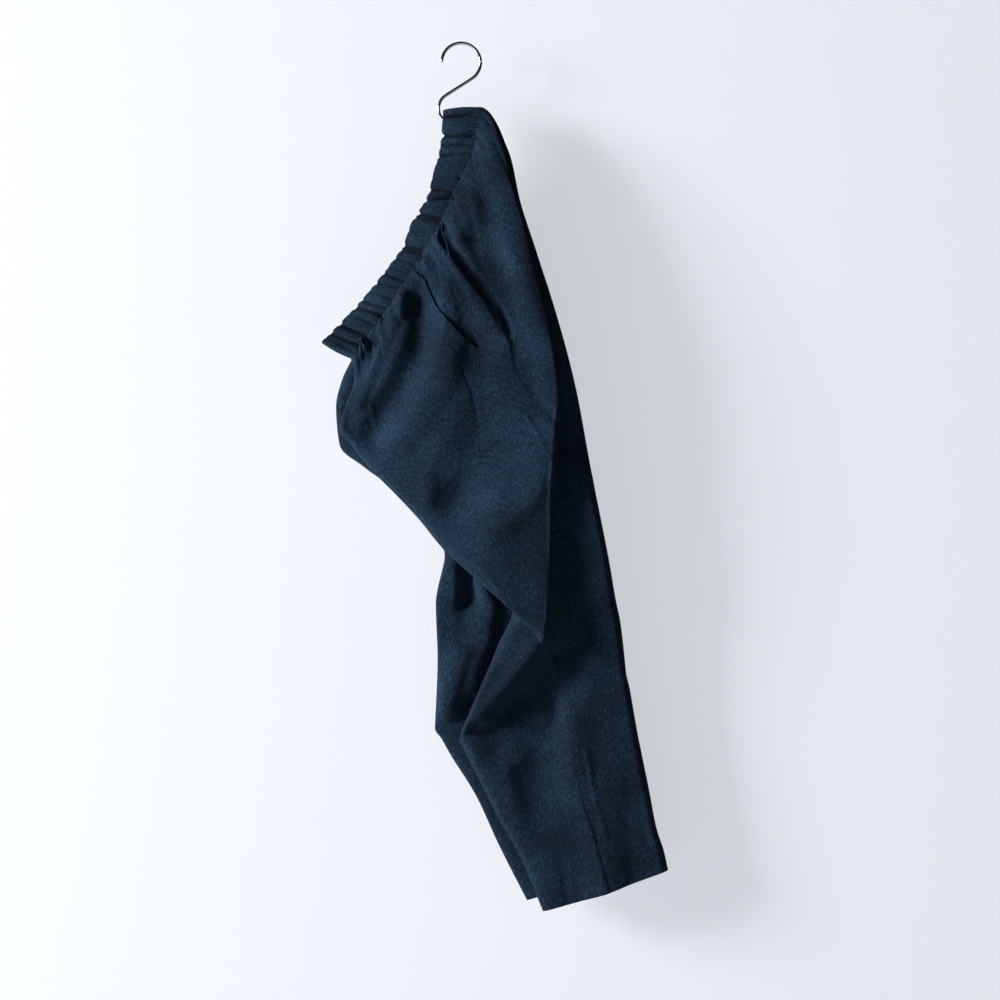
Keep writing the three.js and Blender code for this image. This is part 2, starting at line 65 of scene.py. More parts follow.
# S-hook: one polished steel rod bent into two open loops that lie in one plane.
# Its ends are cut square and tumbled round. The lower loop passes inside the waistband.
ROD = 3.5
UPPER_BEND = 22
LOWER_BEND = 17.5
LOWER_BEND_X = -8
LOWER_BEND_Z = -72.2
UPPER_TIP_TURN = 0.98 * math.pi
LOWER_TIP_TURN = 1.26 * math.pi
ROD_SIDES = 32
PATH_STEPS = 60
NEAREST_RINGS = 0.2
END_STEPS = 6
END_BULGE = 0.8
END_START = 0.35


def mix(start, end, share):
    return start + (end - start) * share


def bent_rod_path(steps):
    upper = np.array([0, ROD / 2 - UPPER_BEND])
    lower = np.array([LOWER_BEND_X, LOWER_BEND_Z])
    between = lower - upper
    heading = math.atan2(between[1], between[0]) + 2 * math.pi
    leave = heading + math.acos((UPPER_BEND + LOWER_BEND) / np.hypot(*between))
    first = [(upper, UPPER_BEND, turn) for turn in np.linspace(UPPER_TIP_TURN, leave - 2 * math.pi, steps)]
    arrive = leave - math.pi
    second = [(lower, LOWER_BEND, turn) for turn in np.linspace(arrive, arrive + LOWER_TIP_TURN, steps)]
    return np.array([
        (middle[0] + radius * math.cos(turn), 0, middle[1] + radius * math.sin(turn))
        for middle, radius, turn in first + second
    ])


def finished_mesh(name, points, faces, material, face_uvs=None, hard_faces=None):
    """A mesh object in metres from points in millimetres, smooth but for its hard faces."""
    mesh = bpy.data.meshes.new(name)
    mesh.from_pydata((np.asarray(points) * MM).tolist(), [], np.asarray(faces).tolist())
    smooth = np.ones(len(mesh.polygons), dtype=bool)
    if hard_faces is not None:
        smooth[hard_faces] = False
        sharp = np.zeros(len(mesh.edges), dtype=bool)
        edge_of_loop = np.empty(len(mesh.loops), dtype=np.int32)
        mesh.loops.foreach_get("edge_index", edge_of_loop)
        sharp[edge_of_loop.reshape(-1, 4)[hard_faces].ravel()] = True
        mesh.attributes.new("sharp_edge", "BOOLEAN", "EDGE").data.foreach_set("value", sharp)
    mesh.polygons.foreach_set("use_smooth", smooth)
    if face_uvs is not None:
        layer = mesh.uv_layers.new(name="grain")
        corner_points = np.empty(len(mesh.loops), dtype=np.int32)
        mesh.loops.foreach_get("vertex_index", corner_points)
        layer.data.foreach_set("uv", face_uvs[corner_points].ravel().astype(np.float32))
    mesh.materials.append(material)
    return placed(name, mesh)


def bare_material(name):
    material = bpy.data.materials.new(name)
    material.use_nodes = True
    return material, material.node_tree, material.node_tree.nodes["Principled BSDF"]


def fill(tree, node, inputs):
    """Each input named takes its value, or is joined to the output given for it."""
    for name, value in inputs.items():
        if isinstance(value, bpy.types.NodeSocket):
            tree.links.new(value, node.inputs[name])
        else:
            node.inputs[name].default_value = value


def add_node(tree, kind, inputs, **settings):
    node = tree.nodes.new(kind)
    for name, value in settings.items():
        setattr(node, name, value)
    fill(tree, node, inputs)
    return node


def object_noise(tree, inputs):
    """Noise that is fixed to the object."""
    place = add_node(tree, "ShaderNodeTexCoord", {})
    return add_node(tree, "ShaderNodeTexNoise", {"Vector": place.outputs["Object"], **inputs}).outputs["Fac"]


chrome, tree, shader = bare_material("polished_rod")
scuffs = object_noise(tree, {"Scale": 420, "Detail": 4})
dulling = add_node(tree, "ShaderNodeMapRange", {
    "Value": scuffs, "From Min": 0.35, "From Max": 0.75, "To Min": 0.12, "To Max": 0.26,
})
dents = add_node(tree, "ShaderNodeBump", {"Height": scuffs, "Strength": 0.15, "Distance": 0.0002})
fill(tree, shader, {
    "Base Color": (0.62, 0.63, 0.65, 1), "Metallic": 1,
    "Roughness": dulling.outputs["Result"], "Normal": dents.outputs["Normal"],
})


def make_hook():
    path = bent_rod_path(PATH_STEPS)
    spacing = np.linalg.norm(np.diff(path, axis=0), axis=1)
    path = path[np.concatenate([[True], spacing > NEAREST_RINGS])]
    along = np.gradient(path, axis=0)
    along /= np.linalg.norm(along, axis=1)[:, None]
    sideways = np.array([0.0, 1.0, 0.0])
    inward = np.cross(along, sideways)

    def end_rings(at, outward):
        """Rings of one rounded end, from its tip to where the rod begins."""
        turns = [(math.pi / 2) * (step + END_START) / (END_STEPS + END_START) for step in range(END_STEPS)]
        return [(path[at] + outward * along[at] * END_BULGE * math.cos(turn), inward[at],
                 ROD / 2 * math.sin(turn)) for turn in turns]

    rings = end_rings(0, -1) + [(path[i], inward[i], ROD / 2) for i in range(len(path))]
    rings += reversed(end_rings(-1, 1))
    turns = np.arange(ROD_SIDES) * 2 * math.pi / ROD_SIDES
    points = np.concatenate([
        middle + radius * (np.cos(turns)[:, None] * across + np.sin(turns)[:, None] * sideways)
        for middle, across, radius in rings
    ])
    faces = []
    for ring in range(len(rings) - 1):
        for side in range(ROD_SIDES):
            beside = (side + 1) % ROD_SIDES
            low, high = ring * ROD_SIDES, (ring + 1) * ROD_SIDES
            faces.append((low + side, low + beside, high + beside, high + side))
    last = (len(rings) - 1) * ROD_SIDES
    faces.append(tuple(reversed(range(ROD_SIDES))))
    faces.append(tuple(last + side for side in range(ROD_SIDES)))
    mesh = bpy.data.meshes.new("bent_rod")
    mesh.from_pydata((points * MM).tolist(), [], faces)
    mesh.polygons.foreach_set("use_smooth", [True] * len(mesh.polygons))
    mesh.materials.append(chrome)
    return placed("bent_rod", mesh)


hook = make_hook()
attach(hook, "root")
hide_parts("s_hook")


# Linen cloth: plain weave in dark navy, washed and left rough dried, so the thread swells
# and thins along the leg. The weave group gives its colour and its height to each cloth.
THREAD_PITCH = 0.75
SLUB_LENGTH = 5.5
SLUB_WIDTH = 1.3


def add_sockets(group, takes, gives):
    for name, kind, value in takes:
        socket = group.interface.new_socket(name, in_out="INPUT", socket_type=kind)
        if value is not None:
            socket.default_value = value
    for name, kind in gives:
        group.interface.new_socket(name, in_out="OUTPUT", socket_type=kind)
    return group.nodes.new("NodeGroupInput"), group.nodes.new("NodeGroupOutput")


def make_weave_group():
    """Colour factor and height of the plain weave with its slubs, on the grain's UV map."""
    group = bpy.data.node_groups.new("linen_weave", "ShaderNodeTree")
    enter, leave = add_sockets(
        group,
        [("Grain", "NodeSocketVector", None), ("Thread Pitch", "NodeSocketFloat", THREAD_PITCH * MM),
         ("Slub Length", "NodeSocketFloat", SLUB_LENGTH * MM),
         ("Slub Width", "NodeSocketFloat", SLUB_WIDTH * MM)],
        [("Shade", "NodeSocketFloat"), ("Height", "NodeSocketFloat")],
    )

    def maths(operation, *values):
        return add_node(group, "ShaderNodeMath", dict(enumerate(values)), operation=operation).outputs[0]

    def weighted(first, share, second, other_share):
        return maths("ADD", maths("MULTIPLY", first, share), maths("MULTIPLY", second, other_share))

    def thread_wave(run):
        turns = maths("MULTIPLY", maths("DIVIDE", run, enter.outputs["Thread Pitch"]), 2 * math.pi)
        return maths("SINE", maths("ADD", turns, drift))

    def stretched_noise(width, length, detail, seed_shift):
        vector = add_node(group, "ShaderNodeCombineXYZ", {
            0: maths("ADD", maths("DIVIDE", split.outputs[0], width), seed_shift),
            1: maths("DIVIDE", split.outputs[1], length),
        })
        return add_node(group, "ShaderNodeTexNoise", {
            "Vector": vector.outputs[0], "Scale": 1, "Detail": detail, "Roughness": 0.55,
        }).outputs["Fac"]

    split = add_node(group, "ShaderNodeSeparateXYZ", {0: enter.outputs["Grain"]})
    wander = add_node(group, "ShaderNodeTexNoise", {
        "Vector": enter.outputs["Grain"], "Scale": 130, "Detail": 2,
    })
    drift = maths("MULTIPLY", maths("SUBTRACT", wander.outputs["Fac"], 0.5), 5.5)
    weave = maths("MULTIPLY", thread_wave(split.outputs[0]), thread_wave(split.outputs[1]))
    length, width = enter.outputs["Slub Length"], enter.outputs["Slub Width"]
    slub = stretched_noise(width, length, 3, 3.7)
    cross_slub = stretched_noise(maths("MULTIPLY", length, 0.55), width, 2, 11.3)
    crinkle = stretched_noise(maths("MULTIPLY", width, 3.2), maths("MULTIPLY", length, 0.8), 2, 21.9)
    threads = weighted(slub, 0.62, cross_slub, 0.38)
    height = maths("ADD", weighted(weave, 0.22, slub, 0.75), maths("MULTIPLY", cross_slub, 0.5))
    fill(group, leave, {
        "Shade": weighted(threads, 0.8, crinkle, 0.2),
        "Height": maths("ADD", height, maths("MULTIPLY", crinkle, 1.2)),
    })
    return group


linen_weave = make_weave_group()


def colour_ramp(tree, factor, stops):
    """Colour that runs through the stops given, the first and the last on the ramp's own two."""
    ramp = add_node(tree, "ShaderNodeValToRGB", {"Fac": factor})
    elements = ramp.color_ramp.elements
    for number, (position, colour) in enumerate((stops[0], stops[-1])):
        elements[number].position = position
        elements[number].color = (*colour, 1)
    for position, colour in stops[1:-1]:
        elements.new(position).color = (*colour, 1)
    return ramp.outputs["Color"]


def linen_material(name, dark, middle, light):
    material, tree, shader = bare_material(name)
    grain = add_node(tree, "ShaderNodeUVMap", {}, uv_map="grain")
    weave = add_node(tree, "ShaderNodeGroup", {"Grain": grain.outputs["UV"]}, node_tree=linen_weave)
    fading = object_noise(tree, {"Scale": 14, "Detail": 3})
    spread = add_node(tree, "ShaderNodeMath", {0: weave.outputs["Shade"], 1: 0.15}, operation="SUBTRACT")
    blend = add_node(tree, "ShaderNodeMath", {
        0: fading, 1: 0.30, 2: spread.outputs[0],
    }, operation="MULTIPLY_ADD")
    relief = add_node(tree, "ShaderNodeBump", {
        "Height": weave.outputs["Height"], "Strength": 1.1, "Distance": 0.0007,
    })
    fill(tree, shader, {
        "Base Color": colour_ramp(tree, blend.outputs[0], [(0.395, dark), (0.5, middle), (0.61, light)]),
        "Roughness": 0.88, "Specular IOR Level": 0.14, "Normal": relief.outputs["Normal"],
        "Sheen Weight": 0.06, "Sheen Roughness": 0.55, "Sheen Tint": (0.45, 0.68, 1.0, 1),
    })
    return material


linen = linen_material(
    "navy_linen", (0.0014, 0.0056, 0.0140), (0.0062, 0.0195, 0.0415), (0.021, 0.054, 0.099))
band_linen = linen_material(
    "navy_linen_band", (0.0021, 0.0085, 0.0195), (0.0108, 0.0310, 0.0610), (0.036, 0.082, 0.143))


# Waistband: a casing of the same linen turned over a wide elastic, which draws it into
# gathers. It hangs by its centre back over the hook, and its two sides lie together.
CLOTH = 1.4
CASING = 2.4
BAND_WIDTH = 38
BAND_GAP = 0.4
BAND_COLUMNS = ["openX", "openZ", "seamX", "seamZ", "depth"]
BAND_ROWS = {
    "centreBack": [-20, -75, 19, -72, 3.6],
    "besideHook": [-23, -113, 16, -108, 5.5],
    "upperBack": [-31, -147, 3, -147, 9],
    "back": [-37, -170, -5, -164, 10.5],
    "side": [-56, -204, -17, -198, 12],
    "sideFront": [-64, -226, -37, -234, 12],
    "front": [-97, -272, -66, -277, 11],
    "nearFront": [-127, -306, -92, -311, 9],
    "centreFront": [-157, -336, -123, -354, 6],
}
# Gathers from the centre back to the centre front: how far along the band each one lies, how
# deep the cloth is drawn in there, and how many millimetres it leans towards the seam
LEFT_GATHERS = [
    (0.031, 2.4, 0), (0.103, 2.4, 1), (0.141, 1.3, 0), (0.175, 1.2, -1), (0.205, 0.5, 1), (0.262, 0.5, 0),
    (0.312, 2.2, 1), (0.342, 2.0, -2), (0.372, 0.6, 0), (0.408, 2.1, 2), (0.424, 1.4, 1), (0.470, 0.6, -1),
    (0.532, 2.1, 1), (0.552, 1.5, 1), (0.592, 0.9, 2), (0.628, 0.6, 0), (0.660, 1.3, 2), (0.697, 1.1, -1),
    (0.738, 0.6, 1), (0.778, 1.1, 0), (0.812, 2.4, -1), (0.850, 0.6, 1), (0.897, 2.1, 0), (0.940, 1.9, -1),
    (0.968, 0.7, 0),
]
RIGHT_GATHERS = [
    (0.060, 1.0, 1), (0.096, 2.0, 0), (0.150, 1.4, -1), (0.187, 2.1, 1), (0.215, 0.8, 0), (0.268, 2.0, 2),
    (0.294, 1.3, 1), (0.338, 0.7, 0), (0.385, 2.2, -1), (0.418, 1.0, 1), (0.461, 2.0, 0), (0.480, 1.4, 1),
    (0.522, 0.6, -2), (0.577, 2.1, 1), (0.612, 0.9, 0), (0.646, 2.0, 2), (0.668, 1.2, 0), (0.715, 0.7, -1),
    (0.762, 2.2, 1), (0.790, 1.2, 0), (0.834, 1.0, 1), (0.881, 2.0, -1), (0.925, 1.5, 0), (0.960, 0.8, 1),
]
BAND_COLUMN_COUNT = 450
BAND_ROW_COUNT = 27
# How strongly the elastic draws the casing in and pulls its edges, how far the cloth puffs
# out between the gathers, and how much longer it is than the band
TUCK_DEPTH = 2.4
TUCK_PULL = 2.3
BAND_PUFF = 1.5
GATHERED_SHARE = 1.5
# Painted shade in the tucks: the tuck depth at which it is full, and how much it darkens the band's colour
# there
DEEPEST_TUCK = 3.2
TUCK_SHADE_STRENGTH = 0.74
GATHER_BOW = 1.2
TUCK_CORE = 0.68
TUCK_SPREAD = 0.32
PLAIN_END = 3
FADING_END = 5


def clamp01(value):
    return np.clip(value, 0, 1)


def ease(value):
    value = clamp01(value)
    return value * value * (3 - 2 * value)


def quarter_round(value):
    return np.sqrt(1 - (1 - clamp01(value)) ** 2)


def steady_curve(values):
    """A curve through evenly spaced values that never swings past them."""
    values = np.asarray(values, dtype=float)
    steps = np.diff(values)
    slopes = np.empty_like(values)
    slopes[0], slopes[-1] = steps[0], steps[-1]
    product = steps[:-1] * steps[1:]
    total = steps[:-1] + steps[1:]
    slopes[1:-1] = np.where(product > 0, 2 * product / np.where(total == 0, 1, total), 0)

    def at(place):
        place = np.asarray(place, dtype=float)
        i = np.clip(np.floor(place).astype(int), 0, len(values) - 2)
        k = place - i
        rise = steps[i]
        return values[i] + k * (slopes[i] + k * (3 * rise - 2 * slopes[i] - slopes[i + 1]
                                + k * (slopes[i] + slopes[i + 1] - 2 * rise)))
    return at


def table_curves(columns, rows):
    values = np.array(list(rows.values()), dtype=float)
    curves = {name: steady_curve(values[:, i]) for i, name in enumerate(columns)}
    return lambda place: {name: curve(place) for name, curve in curves.items()}


def running_length(line):
    return np.concatenate([[0], np.cumsum(np.linalg.norm(np.diff(line, axis=0), axis=1))])


def points_at(line, lengths, wanted):
    return np.stack([np.interp(wanted, lengths, line[:, i]) for i in range(3)], axis=1)


band_at = table_curves(BAND_COLUMNS, BAND_ROWS)
BAND_LAST = len(BAND_ROWS) - 1
RING_POINTS = 600


def band_line(side, width):
    """One side of the band's ring from centre back to centre front, and each point's share."""
    share = (1 - np.cos(np.pi * np.linspace(0, 1, RING_POINTS))) / 2
    row = band_at(share * BAND_LAST)
    flat = np.stack([mix(row["openX"], row["seamX"], width), 0 * share,
                     mix(row["openZ"], row["seamZ"], width)], axis=1)
    lengths = running_length(flat)
    from_end = np.minimum(lengths, lengths[-1] - lengths)
    flat[:, 1] = side * row["depth"] * quarter_round(from_end / row["depth"])
    return flat, lengths / lengths[-1]


def drawn_in(gathers, share, width, total, narrow, wide):
    """How far the elastic draws the cloth in, at shares of the way round and widths of the band."""
    depth = np.zeros(np.broadcast(share, width).shape)
    for number, (place, deep, lean) in enumerate(gathers):
        bow = 4 * width * (1 - width) * math.sin(1.7 * number + 0.8) * GATHER_BOW
        offset = (share - place) * total - lean * (2 * width - 1) - bow
        patch = 0.82 + 0.18 * np.sin(2.3 * number + 5 * width)
        depth += deep * patch * (TUCK_CORE * np.exp(-(offset / narrow) ** 2)
                                 + TUCK_SPREAD * np.exp(-(offset / wide) ** 2))
    return depth


def smooth_normals(normals, rounds):
    for _ in range(rounds):
        padded = np.pad(normals, ((1, 1), (1, 1), (0, 0)), mode="edge")
        normals = (padded[:-2, 1:-1] + padded[2:, 1:-1] + padded[1:-1, :-2] + padded[1:-1, 2:]
                   + 2 * normals) / 6
        normals /= np.linalg.norm(normals, axis=2, keepdims=True) + 1e-9
    return normals


def cloth_shell(name, grid, normals, outer, inner, grain, material, closed_ring=False, keep_side=None):
    """A wall of cloth round a grid of middle points: its two faces and its cut edges."""
    row_count, column_count = grid.shape[:2]
    skins = [grid + normals * outer, grid + normals * inner]
    if keep_side is not None:
        skins = [keep_side(skin) for skin in skins]
    points = np.concatenate([skin.reshape(-1, 3) for skin in skins])
    size = row_count * column_count
    index = np.arange(size).reshape(row_count, column_count)
    if closed_ring:
        index = np.concatenate([index, index[:, :1]], axis=1)
    a, b, c, d = index[:-1, :-1], index[:-1, 1:], index[1:, 1:], index[1:, :-1]
    outer_faces = np.stack([a, b, c, d], axis=-1).reshape(-1, 4)
    inner_faces = np.stack([a, d, c, b], axis=-1).reshape(-1, 4) + size

    def rim(edge, order):
        return np.stack([edge[:-1], edge[:-1] + size, edge[1:] + size, edge[1:]], axis=-1)[:, order]

    one_way, other_way = [0, 1, 2, 3], [0, 3, 2, 1]
    rims = [rim(index[0], one_way), rim(index[-1], other_way)]
    if not closed_ring:
        rims += [rim(index[:, 0], other_way), rim(index[:, -1], one_way)]
    rim_faces = np.concatenate(rims)
    faces = np.concatenate([outer_faces, inner_faces, rim_faces])
    corners = points[faces]
    volume = np.einsum("ij,ij->i", corners[:, 0], np.cross(corners[:, 1], corners[:, 2])
                       + np.cross(corners[:, 2], corners[:, 3])).sum()
    if volume < 0:
        faces = faces[:, ::-1]
    hard = np.arange(len(faces) - len(rim_faces), len(faces))
    uvs = np.concatenate([grain.reshape(-1, 2), grain.reshape(-1, 2)]) * MM
    return finished_mesh(name, points, faces, material, uvs, hard)


def make_waistband():
    widths = 0.5 - 0.5 * np.cos(np.pi * (0.06 + 0.88 * np.linspace(0, 1, BAND_ROW_COUNT)))
    widths = (widths - widths[0]) / (widths[-1] - widths[0])
    halves = []
    for side, gathers in ((-1, LEFT_GATHERS), (1, RIGHT_GATHERS)):
        rows = []
        for width in widths:
            line, _ = band_line(side, width)
            lengths = running_length(line)
            rows.append(points_at(line, lengths, lengths[-1] * np.linspace(0, 1, BAND_COLUMN_COUNT)))
        share = np.linspace(0, 1, BAND_COLUMN_COUNT)[None, :]
        total = lengths[-1]
        ends = ease((np.minimum(share, 1 - share) * total - PLAIN_END) / FADING_END)
        depth = TUCK_DEPTH * drawn_in(gathers, share, widths[:, None], total, 2.0, 4.2) * ends
        pull = TUCK_PULL * drawn_in(gathers, share, widths[:, None], total, 2.2, 4.5) * ends
        halves.append((np.array(rows), depth, pull, share * total + 0 * depth))

    def join(left, right):
        return np.concatenate([left[:, :-1], right[:, ::-1][:, :-1]], axis=1)

    (left_grid, left_depth, left_pull, left_run), (right_grid, right_depth, right_pull, right_run) = halves
    grid, depth, pull = (join(*pair) for pair in (
        (left_grid, right_grid), (left_depth, right_depth), (left_pull, right_pull)))
    run = join(left_run, 2 * left_run[0, -1] - right_run)
    across = np.roll(grid, -1, axis=1) - np.roll(grid, 1, axis=1)
    down = np.gradient(grid, axis=0)
    normals = np.cross(across, down)
    normals /= np.linalg.norm(normals, axis=2, keepdims=True)
    if ((grid - grid.mean(axis=1, keepdims=True)) * normals * np.array([0, 1, 0])).sum() < 0:
        normals = -normals
    # The fold at the top is pulled down, and the seam pulled up, where the elastic draws them in
    edge_pull = (1 - widths) ** 3 * 0.8 - widths ** 3 * 0.2
    down /= np.linalg.norm(down, axis=2, keepdims=True)
    grid = grid + down * (edge_pull[:, None] * (pull - 0.5))[..., None]
    rounded = np.sqrt(clamp01((widths + 0.004) / 0.05))[:, None]
    puffed = BAND_PUFF * np.sin(np.pi * widths)[:, None] ** 0.8 * (1 - 0.6 * clamp01(depth / 2))
    outer = (CASING / 2 * rounded - depth + puffed)[..., None]
    inner = (-CASING / 2 * rounded - 0.85 * depth + puffed)[..., None]
    across_band = np.repeat(widths[:, None] * BAND_WIDTH, grid.shape[1], axis=1)
    grain = np.stack([run * GATHERED_SHARE, across_band], axis=-1)
    casing = cloth_shell("waistband_casing", grid, normals, outer, inner, grain, band_linen, closed_ring=True)
    # Painted shade: how deep each point lies in a tuck, kept on the casing to darken its colour there
    tuck_shade = clamp01(depth / DEEPEST_TUCK)
    tuck_shade_layer = casing.data.attributes.new("tuck_shade", "FLOAT", "POINT")
    values = np.zeros(len(casing.data.vertices))
    values[:2 * tuck_shade.size] = np.tile(tuck_shade.ravel(), 2)
    tuck_shade_layer.data.foreach_set("value", values)
    return casing, grid + normals * outer, widths


def paint_shade_in_tucks(material):
    """Painted shade: the band's colour is darkened in the tucks between the pleats, where shade falls, by how
    deep each point lies in a tuck.
    """
    tree = material.node_tree
    shader = tree.nodes["Principled BSDF"]
    dyed = shader.inputs["Base Color"].links[0].from_socket
    tuck_shade = add_node(tree, "ShaderNodeAttribute", {}, attribute_name="tuck_shade")
    shade_factor = add_node(tree, "ShaderNodeMath", {
        0: tuck_shade.outputs["Fac"], 1: -TUCK_SHADE_STRENGTH, 2: 1.0,
    }, operation="MULTIPLY_ADD")
    shaded_colour = add_node(tree, "ShaderNodeVectorMath", {0: dyed, "Scale": shade_factor.outputs[0]}, operation="SCALE")
    fill(tree, shader, {"Base Color": shaded_colour.outputs["Vector"]})


waistband, band_face, band_widths = make_waistband()
# Painted shade darkens the band's colour in its tucks
paint_shade_in_tucks(band_linen)
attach(waistband, "root")
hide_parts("waistband")


# Legs: each is a front and a back panel of linen, joined at the side seam and the inseam.
# The left thigh hangs in a deep lap over the back of the knee, and the cloth below it
# doubles back under the lap.
SEAM_GAP = 0.16
LAYER_GAP = 0.3
SEAT_BULGE = 7
CREASE_REACH = 9
CREASE_SHARE = 0.3
LAP_EDGE = 5
SHALLOWEST = 5
LAYER_REST = LAYER_GAP / 2 + CLOTH / 2
LEG_COLUMNS = [
    "frontX", "frontZ", "lapX", "lapZ", "backX", "backZ",
    "frontDepth", "middleDepth", "lapDepth", "stripDepth", "backDepth",
    "frontInner", "backInner", "seam", "slash",
]
LEFT_ROWS = {
    "waist": [-123, -354, 18, -94, 21, -85, 8, 14, 13, 13, 13, 0.02, 0.02, 0.57, 0.345],
    "yoke": [-120, -379, 41, -130, 52, -119, 9, 22, 22, 21, 20, 0.02, 0.02, 0.60, 0.44],
    "highHip": [-136, -433, 64, -189, 67, -181, 12, 31, 30, 28, 25, 0.03, 0.03, 0.62, 0.535],
    "hip": [-117, -460, 79, -250, 86, -240, 14, 35, 34, 31, 27, 0.10, 0.10, 0.63, 0.583],
    "crotch": [-99, -482, 96, -317, 107, -306, 16, 39, 39, 33, 28, 0.5, 0.5, 0.625, 0.672],
    "thigh": [-72, -509, 108, -407, 128, -385, 18, 42, 43, 32, 27, 0.5, 0.5, 0.72, 0.72],
    "kneeTop": [-46, -537, 102, -503, 146, -481, 20, 44, 42, 30, 25, 0.45, 0.55, 0.85, 0.85],
    "lobeEdge": [-17, -572, 93, -666, 166, -582, 22, 42, 38, 27, 23, 0.36, 0.64, 0.72, 0.72],
    "tongueTop": [60, -632, 90, -674, 174, -628, 24, 31, 26, 22, 17, 0.33, 0.67, 0.61, 0.61],
    "tongueHigh": [43, -678, 93, -676, 179, -652, 24, 31, 23, 20, 15, 0.33, 0.67, 0.60, 0.60],
    "tongueLow": [14, -746, 93, -681, 183, -684, 22, 26, 20, 18, 12, 0.36, 0.64, 0.68, 0.68],
    "tongueEdge": [0, -778, 93, -684, 186, -712, 16, 21, 17, 18, 11, 0.4, 0.6, 0.685, 0.685],
    "underTongue": [-1, -785, 97, -690, 189, -724, 12, 17, 15, 18, 9, 0.4, 0.6, 0.69, 0.69],
    "shinTop": [6, -799, 119, -780, 199, -780, 12, 20, 21, 21, 9, 0.45, 0.55, 0.62, 0.62],
    "shin": [27, -842, 134, -854, 211, -839, 11, 19, 21, 20, 9, 0.5, 0.5, 0.60, 0.60],
    "shinLow": [44, -876, 146, -888, 220, -885, 11, 18, 20, 19, 9, 0.5, 0.5, 0.59, 0.59],
    "aboveHem": [67, -916, 154, -921, 228, -910, 10, 17, 19, 18, 9, 0.5, 0.5, 0.56, 0.56],
    "hem": [93, -978, 164, -956, 233, -932, 10, 16, 18, 17, 9, 0.5, 0.5, 0.52, 0.52],
}
RIGHT_ROWS = {
    "waist": [-123, -354, -46, -232, 21, -85, 8, 13, 13, 13, 7, 0.02, 0.02, 0.57, 0.37],
    "yoke": [-133, -376, -24, -232, 50, -119, 10, 19, 19, 18, 7, 0.09, 0.02, 0.60, 0.45],
    "highHip": [-141, -410, -24, -289, 64, -184, 12, 24, 24, 22, 8, 0.13, 0.03, 0.62, 0.53],
    "hip": [-137, -452, -12, -339, 82, -246, 14, 26, 26, 23, 8, 0.14, 0.10, 0.62, 0.58],
    "crotch": [-108, -478, 10, -390, 104, -309, 15, 27, 27, 23, 8, 0.5, 0.5, 0.60, 0.65],
    "thigh": [-63, -512, 33, -447, 124, -388, 16, 27, 27, 23, 9, 0.5, 0.5, 0.58, 0.58],
    "kneeTop": [-33, -552, 55, -515, 142, -483, 16, 26, 26, 22, 9, 0.5, 0.5, 0.56, 0.56],
    "rollTop": [-18, -578, 72, -578, 162, -577, 15, 24, 24, 21, 9, 0.5, 0.5, 0.55, 0.55],
    "knee": [-28, -633, 72, -633, 172, -633, 15, 23, 23, 20, 9, 0.5, 0.5, 0.54, 0.54],
    "roll": [-26, -695, 78, -695, 180, -695, 14, 22, 22, 20, 9, 0.5, 0.5, 0.53, 0.53],
    "aboveCorner": [-28.5, -760, 83, -757, 192, -753, 12, 20, 20, 19, 9, 0.5, 0.5, 0.52, 0.52],
    "corner": [-29, -773, 84, -769, 193, -765, 12, 20, 20, 19, 9, 0.5, 0.5, 0.52, 0.52],
    "belowCorner": [-22, -784, 88, -781, 195, -777, 12, 20, 20, 19, 9, 0.5, 0.5, 0.52, 0.52],
    "shinTop": [-10, -805, 95, -805, 200, -805, 11, 19, 19, 18, 9, 0.5, 0.5, 0.52, 0.52],
    "shin": [17, -848, 112, -848, 209, -842, 11, 18, 18, 18, 9, 0.5, 0.5, 0.52, 0.52],
    "shinLow": [44, -906, 129, -902, 218, -894, 10, 17, 17, 17, 9, 0.5, 0.5, 0.52, 0.52],
    "hem": [75, -967, 148, -944, 224, -924, 10, 16, 16, 16, 9, 0.5, 0.5, 0.52, 0.52],
}
